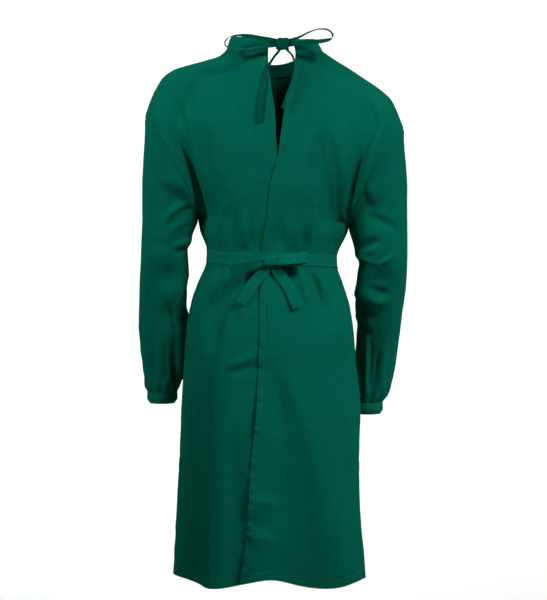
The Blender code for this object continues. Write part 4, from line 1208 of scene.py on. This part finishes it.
def make_front():
    """The front panel with its hem."""
    sizes = bpy.context.scene.gown_sizes
    found = materials()
    levels = panel_levels()
    s, t = np.broadcast_arrays((crowd(FRONT_COLUMNS) * 2 - 1)[None], levels[:, None])
    base = body_point(1, s, t)
    normals = grid_normals(base, -1)
    height = panel_detail(1, s, t, base, FRONT_FOLDS, FRONT_CREASES, 83)
    outer = base + normals * height[..., None]
    wall = sizes.wall * (1 + TURNED * (t * SKIRT_LENGTH < sizes.hem))
    piece = shell("front_cloth", outer, outer - normals * wall[..., None], found["gown_cloth"],
                  flip=True, wear=panel_wear(s, t))
    row = hem_row(t)
    thread = stitches("front_stitches", [(outer[row], normals[row])], found["gown_thread"])
    hand_over(piece, [thread], "front_panel", "cloth", flat=(0.66, 1.14), held="draped",
              rests_on=["neckband_cloth"], area=0.58, with_pieces=[thread])


def make_sleeve(side):
    """A full sleeve from the armhole's seam to the gathers at the cuff."""
    sizes = bpy.context.scene.gown_sizes
    found = materials()
    seed = 140 + side
    along = crowd(SLEEVE_ROWS, 0.55)[:, None]
    turn = (np.arange(SLEEVE_COLUMNS) / SLEEVE_COLUMNS)[None]
    along, turn = np.broadcast_arrays(along, turn)
    base = sleeve_point(side, turn, along)
    ahead = sleeve_point(side, turn + 0.01, along) - sleeve_point(side, turn - 0.01, along)
    down = (sleeve_point(side, turn, np.clip(along + 0.01, 0, 1))
            - sleeve_point(side, turn, np.clip(along - 0.01, 0, 1)))
    normals = side * unit(np.cross(ahead, down))
    fade = ease(along / 0.08) * ease((1 - along) / 0.06)
    close = ease(along / 0.03) * ease((1 - along) / 0.06)
    height = SLEEVE_FOLD_DEPTH * sleeve_folds(turn, along, SLEEVE_FOLDS) * fade
    height = height + sizes.crease * sleeve_folds(turn, along, SLEEVE_CREASES[side]) * fade
    fine = np.array(SLEEVE_BACK_CREASES[side], float) * MM
    back_half = ease((np.sin(2 * np.pi * turn) + 0.5) / 0.6)
    height = height + sizes.crease * crease_height(base[..., (0, 2)], fine) * back_half * close
    height = height + sizes.crease * crumple(turn * 8, along * 12, seed, 8) * fade
    height = height + gathers(turn, along, seed + 5)
    puff = 1 + 0.5 * noise(turn * 40, 0, seed + 6, 40)
    height = height + seam_roll(along * SLEEVE_LENGTH, *ARMHOLE_ROLL) * puff
    outer = base + normals * height[..., None]
    outer[-1, :, 2] = sleeve_ring(side, 1.0)[1]
    outer = keep_clear(outer, side, SLEEVE_CLEAR)
    inner = keep_clear(outer - normals * sizes.wall, side, SLEEVE_CLEAR + sizes.wall)
    wear = 0.2 * bell(along * SLEEVE_LENGTH, 2.5 * MM)
    wear = wear + 0.4 * bell((1 - along) * SLEEVE_LENGTH, 3 * MM)
    name = sided("sleeve", side)
    piece = shell(name + "_cloth", outer, inner, found["gown_cloth"], flip=side < 0, closed=True,
                  wear=wear)
    hand_over(piece, [], name, "cloth", flat=(0.50, 0.62), held="draped",
              rests_on=["front_cloth"], area=0.21)


def make_cuff(side):
    """A narrow doubled band on the sleeve's end, topstitched along both edges."""
    sizes = bpy.context.scene.gown_sizes
    found = materials()
    turn = np.arange(CUFF_COLUMNS) / CUFF_COLUMNS
    top = sleeve_point(side, turn, np.ones_like(turn))
    way = unit((top - top.mean(axis=0)) * np.array([1, 1, 0]))
    share = np.linspace(0, 1, BAND_ROWS)[:, None]
    pucker = noise(turn[None] * 36, share * 2, 300 + side, 36)
    grow = band_swell(share, 0.8, 0.3 * pucker, (0.12, 0.88))
    outer = top[None] + way[None] * (grow * MM)[..., None]
    outer[..., 2] -= share * CUFF_HEIGHT
    rounding = 0.5 * MM * bell(np.abs(share - 0.5) - 0.5, 0.04)
    rounding = rounding + CUFF_TUCK * ease((share - 0.5) / 0.5) ** 2
    outer = outer - way[None] * rounding[..., None]
    inner = outer - way[None] * CUFF_WALLS * sizes.wall
    name = sided("cuff", side)
    wear = 0.5 * bell(1 - share, 0.08) * np.ones_like(pucker)
    piece = shell(name + "_cloth", outer, inner, found["gown_band"], flip=side < 0, closed=True,
                  wear=wear)
    lines = [(closed_row(outer[row]), closed_row(way)) for row in BAND_STITCHES]
    thread = stitches(name + "_stitches", lines, found["gown_thread"])
    hand_over(piece, [thread], name, "band_cloth", flat=(0.19, CUFF_HEIGHT), held="stretched",
              rests_on=[sided("sleeve", side) + "_cloth"], with_pieces=[thread])


def neckband_lean(angle):
    """How far the neckband leans in: least at the back, most over the right shoulder."""
    back = np.clip(np.cos(angle), 0, 1)
    return 0.5 + 0.14 * np.sin(angle) - 0.28 * back


def make_neckband():
    """A narrow stand on the neckline, open at the back, topstitched along both edges."""
    sizes = bpy.context.scene.gown_sizes
    found = materials()
    right_edge, left_edge = (edge_share(side, np.array([2.0]))[0] for side in (1, -1))
    stretches = ((-1, np.linspace(left_edge, -NECK_SIDE, 41)),
                 (1, np.linspace(-NECK_SIDE, NECK_SIDE, 121)[1:-1]),
                 (-1, np.linspace(NECK_SIDE, right_edge, 41)))
    base = np.concatenate([body_point(face, s, np.full_like(s, 2.0)) for face, s in stretches])
    out = unit(base * np.array([1.0, 1.0, 0.0]))
    up = np.array([0.0, 0.0, 1.0])
    lean = neckband_lean(np.arctan2(base[:, 0], -base[:, 1]))[:, None]
    rise = unit(up - lean * out)
    across = unit(out + lean * up)
    share = np.linspace(0, 1, BAND_ROWS)[:, None]
    ripple = noise(distance(base)[None] / 0.016, share * 1.5, 401) * 0.5
    swell = band_swell(share, 0.7, ripple, (0.1, 0.9))
    outer = (base[None] + rise[None] * (share * NECKBAND_HEIGHT)[..., None]
             + across[None] * (swell * MM)[..., None])
    inner = outer - across[None] * NECKBAND_WALLS * sizes.wall
    wear = 0.5 * bell(1 - share, 0.06) * np.ones_like(swell)
    piece = shell("neckband_cloth", outer, inner, found["gown_band"], flip=True, wear=wear)
    lines = [(outer[row], across) for row in BAND_STITCHES]
    thread = stitches("neckband_stitches", lines, found["gown_thread"])
    hand_over(piece, [thread], "neckband", "band_cloth", flat=(0.52, NECKBAND_HEIGHT),
              held="stretched", rests_on=["front_cloth"], with_pieces=[thread])


def make_belt():
    """The belt's band round the waist, made from the panels' points there, moved out.

    It ripples more beside the knot, is drawn in at its rows of stitches and rounded at its rims.
    """
    found = materials()
    half = np.linspace(1, -1, BELT_COLUMNS // 2 + 1)[:-1]
    ring_s = np.r_[half, -half]
    back = np.arange(BELT_COLUMNS) < BELT_COLUMNS // 2
    _, middle, high = belt_levels()
    outer, inner = [], []
    turn = np.arange(BELT_COLUMNS) / BELT_COLUMNS
    for q in np.linspace(-1, 1, BELT_ROWS):
        t = np.full_like(ring_s, middle - q * (high - middle))
        ring = np.where(back[:, None], body_point(-1, ring_s, t), body_point(1, ring_s, t))
        along = np.roll(ring, -1, axis=0) - np.roll(ring, 1, axis=0)
        out = unit(np.cross(along, np.array([0.0, 0.0, -1.0])))
        over = np.where(back, overlap_lift(1, ring_s, ring), 0.0)
        ripple = (0.5 * MM * noise(turn * 60, q + 3, 510, 60)
                  + 0.3 * MM * noise(turn * 130, q * 2, 511, 130))
        near = bell(ring[:, 0] - WAIST_KNOT[0] * MM, 0.03) * back
        ripple = ripple * (1 + 1.2 * near) - 0.25 * MM * (abs(abs(q) - 0.82) < 0.05)
        rounding = 0.35 * MM * (abs(q) > 0.98)
        clear = BELT_CLEAR + over + 0.35 * MM
        inner.append(ring + out * clear[:, None] + out * ripple[:, None])
        outer.append(ring + out * (clear + BELT_WALL - rounding + ripple)[:, None])
    outer, inner = np.stack(outer), np.stack(inner)
    shares = np.linspace(0, 1, BELT_ROWS)[:, None]
    wear = 0.4 * bell(np.abs(shares - 0.5) - 0.5, 0.05) * np.ones((1, BELT_COLUMNS))
    piece = shell("waist_belt_cloth", outer, inner, found["gown_band"], closed=True, wear=wear)
    normals = unit(outer - inner)
    lines = [(closed_row(outer[row]), closed_row(normals[row])) for row in BELT_STITCHES]
    thread = stitches("waist_belt_stitches", lines, found["gown_thread"])
    hand_over(piece, [thread], "waist_belt", "band_cloth", flat=(0.82, BELT_WIDTH),
              held="stretched", rests_on=["back_right_cloth", "front_cloth"], with_pieces=[thread])


def make_bow(paths, knot_name, knot_at, knot_size, width, thickness, material, slot, seed):
    """A bow: a ribbon for each stretch that shows and the knot that gathers them."""
    found = materials()
    body, wrap = knot(knot_name + "_cloth", knot_at, knot_size, found[material], seed)
    hand_over(body, [wrap], knot_name, slot)
    for i, (name, path) in enumerate(paths.items()):
        piece, sides, length = ribbon(name + "_cloth", path, knot_at, width, thickness,
                                      found[material], seed + 10 * i)
        thread = stitches(name + "_stitches", sides, found["gown_thread"])
        hand_over(piece, [thread], name, slot,
                  flat=(max(width, RIBBON_LEAST), round(float(length), 3)), held="hung",
                  rests_on=[knot_name + "_cloth"],
                  with_pieces=[thread] + ([body, wrap] if i == 0 else []))


# ---------------------------------------------------------------- the add-on

class GownSizes(bpy.types.PropertyGroup):
    """Sizes that a user would change."""

    wall: bpy.props.FloatProperty(
        name="Cloth", description="Thickness of the cloth", default=0.8 * MM, unit="LENGTH")
    crease: bpy.props.FloatProperty(
        name="Creases", description="Depth of the finer creases and swells, 1 as worn",
        default=1.0, subtype="FACTOR")
    gather: bpy.props.FloatProperty(
        name="Gathers", description="Depth of the pleats at the belt, 1 as worn",
        default=1.0, subtype="FACTOR")
    hem: bpy.props.FloatProperty(
        name="Hem", description="Height of the turned hem", default=20 * MM, unit="LENGTH")
    edge_hem: bpy.props.FloatProperty(
        name="Edge hem", description="Width of the backs' turned edges", default=11 * MM,
        unit="LENGTH")
    stitch: bpy.props.FloatProperty(
        name="Stitch", description="Length of one stitch", default=2.6 * MM, unit="LENGTH")
    belt_width: bpy.props.FloatProperty(
        name="Belt", description="Width of the belt's free ends", default=23 * MM, unit="LENGTH")
    tape_width: bpy.props.FloatProperty(
        name="Neck ties", description="Width of the neck ties", default=9.5 * MM, unit="LENGTH")


class GownColours(bpy.types.PropertyGroup):
    """Colours that a user would change."""

    cloth: bpy.props.FloatVectorProperty(
        name="Cloth", description="Panels and sleeves", size=4, subtype="COLOR",
        default=(0.001, 0.105, 0.068, 1.0))
    band: bpy.props.FloatVectorProperty(
        name="Bands", description="Neckband, cuffs and belt", size=4, subtype="COLOR",
        default=(0.001, 0.115, 0.076, 1.0))
    # The ties' default is darker than the cloth's: painted shade, standing in for the shade on the
    # edge-on ties and tails.
    tape: bpy.props.FloatVectorProperty(
        name="Ties", description="Neck ties", size=4, subtype="COLOR",
        default=(0.001, 0.070, 0.047, 1.0))
    thread: bpy.props.FloatVectorProperty(
        name="Thread", description="Sewing thread", size=4, subtype="COLOR",
        default=(0.006, 0.200, 0.140, 1.0))
    floor: bpy.props.FloatVectorProperty(
        name="Floor", description="Floor and backdrop", size=4, subtype="COLOR",
        default=(0.90, 0.90, 0.90, 1.0))


class Builds:
    """What the operators share: they build their pieces and report success."""

    def execute(self, context):
        self.build(context.scene.gown_sizes)
        return {"FINISHED"}


class GOWN_OT_panels(Builds, bpy.types.Operator):
    """Front panel and both back panels with their hems"""

    bl_idname = "gown.panels"
    bl_label = "Panels"

    def build(self, sizes):
        make_front()
        for side in (1, -1):
            make_back(side)


class GOWN_OT_sleeves(Builds, bpy.types.Operator):
    """Both sleeves and their cuffs"""

    bl_idname = "gown.sleeves"
    bl_label = "Sleeves and cuffs"

    def build(self, sizes):
        for side in (1, -1):
            make_sleeve(side)
            make_cuff(side)


class GOWN_OT_neckband(Builds, bpy.types.Operator):
    """The neckband"""

    bl_idname = "gown.neckband"
    bl_label = "Neckband"

    def build(self, sizes):
        make_neckband()


class GOWN_OT_belt(Builds, bpy.types.Operator):
    """The belt round the waist"""

    bl_idname = "gown.belt"
    bl_label = "Belt"

    def build(self, sizes):
        make_belt()


class GOWN_OT_bows(Builds, bpy.types.Operator):
    """The bow of the neck ties and the bow of the belt"""

    bl_idname = "gown.bows"
    bl_label = "Bows"

    def build(self, sizes):
        make_bow(NECK_BOW, "neck_knot", NECK_KNOT, NECK_KNOT_SIZE, sizes.tape_width, 1.3 * MM,
                 "gown_tape_painted_shade", "tape", 600)
        make_bow(WAIST_BOW, "waist_knot", WAIST_KNOT, WAIST_KNOT_SIZE, sizes.belt_width,
                 BELT_WALL, "gown_band", "band_cloth", 700)


class GOWN_OT_stage(Builds, bpy.types.Operator):
    """Pale floor with a backdrop, soft lights and the camera"""

    bl_idname = "gown.stage"
    bl_label = "Stage"

    def build(self, sizes):
        make_stage()


class GOWN_PT_sidebar(bpy.types.Panel):
    """The gown's sizes, colours and operators"""

    bl_idname = "GOWN_PT_sidebar"
    bl_label = "Surgical gown"
    bl_space_type = "VIEW_3D"
    bl_region_type = "UI"
    bl_category = "Gown"

    def draw(self, context):
        for group in (context.scene.gown_sizes, context.scene.gown_colours):
            for name in group.bl_rna.properties.keys():
                if name not in ("rna_type", "name"):
                    self.layout.prop(group, name)
        for operator in OPERATORS:
            self.layout.operator(operator.bl_idname)


OPERATORS = (GOWN_OT_stage, GOWN_OT_panels, GOWN_OT_sleeves, GOWN_OT_neckband, GOWN_OT_belt,
             GOWN_OT_bows)
CLASSES = (GownSizes, GownColours, *OPERATORS, GOWN_PT_sidebar)

FLOOR_HEIGHT = -1.46
FLOOR_REACH = 9.0                 # to both sides and towards the camera
BEND_START, BEND_RADIUS = 4.0, 2.0  # where the floor curves up into the backdrop
BACKDROP_TOP = 7.0
SURROUNDINGS = 0.07               # strength of the even white light from all round
# Lights: name, place, target, size, power in watts, spread of the beam in degrees
LIGHTS = (
    ("key_light", (2.0, -1.95, 1.9), (0.08, 0, -0.62), 1.0, 4.95, 30),
    ("side_light", (-2.6, -1.6, 1.3), (-0.33, 0, -0.05), 1.0, 3.0, 26),
    ("backdrop_light", (0, 2.2, 3.2), (0, 6.0, -0.4), 3.0, 310, 180),
)
EYE = (-0.001, -3.2, -0.3806)     # camera, level with the lower ribs
EYE_PITCH = 2.63                  # degrees below level
EYE_LENS = 89.6                   # mm on a 36 mm sensor along the picture's long side


def aim(thing, target):
    """Turn an object's -Z axis to a point."""
    way = mathutils.Vector(target) - thing.location
    thing.rotation_euler = way.to_track_quat("-Z", "Y").to_euler()


def soft_light(name, place, target, size, power, spread):
    """A square area light that faces a point, its beam as wide as the spread in degrees."""
    light = bpy.data.lights.new(name, "AREA")
    light.shape = "SQUARE"
    light.size = size
    light.energy = power
    light.spread = math.radians(spread)
    thing = bpy.data.objects.new(name, light)
    bpy.context.scene.collection.objects.link(thing)
    thing.location = place
    aim(thing, target)


def make_stage():
    """A floor that curves up into a backdrop, three soft lights, pale surroundings, the camera."""
    colours = bpy.context.scene.gown_colours
    floor_material = plain_material("studio_floor", colours.floor, 0.9)
    bend = np.linspace(0.1, 1.0, 16) * np.pi / 2
    y = np.concatenate([np.linspace(-FLOOR_REACH, BEND_START, 12),
                        BEND_START + BEND_RADIUS * np.sin(bend),
                        np.full(8, BEND_START + BEND_RADIUS)])
    z = np.concatenate([np.zeros(12), BEND_RADIUS - BEND_RADIUS * np.cos(bend),
                        np.linspace(BEND_RADIUS + 0.3, BACKDROP_TOP, 8)]) + FLOOR_HEIGHT
    x = np.linspace(-FLOOR_REACH, FLOOR_REACH, 13)
    grid = np.stack(np.broadcast_arrays(x[None], y[:, None], z[:, None]), axis=-1)
    number = np.arange(grid[..., 0].size).reshape(grid.shape[:2])
    faces = np.stack([number[:-1, :-1], number[:-1, 1:], number[1:, 1:], number[1:, :-1]], -1)
    solid("studio_floor", grid.reshape(-1, 3), faces.reshape(-1, 4), floor_material)
    for light in LIGHTS:
        soft_light(*light)
    world = bpy.context.scene.world or bpy.data.worlds.new("surroundings")
    bpy.context.scene.world = world
    world.use_nodes = True
    background = world.node_tree.nodes["Background"]
    background.inputs["Color"].default_value = (1.0, 1.0, 1.0, 1.0)
    background.inputs["Strength"].default_value = SURROUNDINGS
    camera = bpy.data.cameras.new("camera")
    camera.lens = EYE_LENS
    camera.sensor_width = 36.0
    camera.clip_end = 60.0
    thing = bpy.data.objects.new("camera", camera)
    bpy.context.scene.collection.objects.link(thing)
    thing.location = EYE
    thing.rotation_euler = (math.radians(90 - EYE_PITCH), 0, 0)
    bpy.context.scene.camera = thing
    bpy.context.scene.view_settings.view_transform = "Standard"


def register():
    for one in CLASSES:
        bpy.utils.register_class(one)
    bpy.types.Scene.gown_sizes = bpy.props.PointerProperty(type=GownSizes)
    bpy.types.Scene.gown_colours = bpy.props.PointerProperty(type=GownColours)


def unregister():
    del bpy.types.Scene.gown_colours
    del bpy.types.Scene.gown_sizes
    for one in reversed(CLASSES):
        bpy.utils.unregister_class(one)


def main():
    register()
    for operator in OPERATORS:
        group, name = operator.bl_idname.split(".")
        getattr(getattr(bpy.ops, group), name)()
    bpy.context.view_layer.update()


if __name__ == "__main__":
    main()
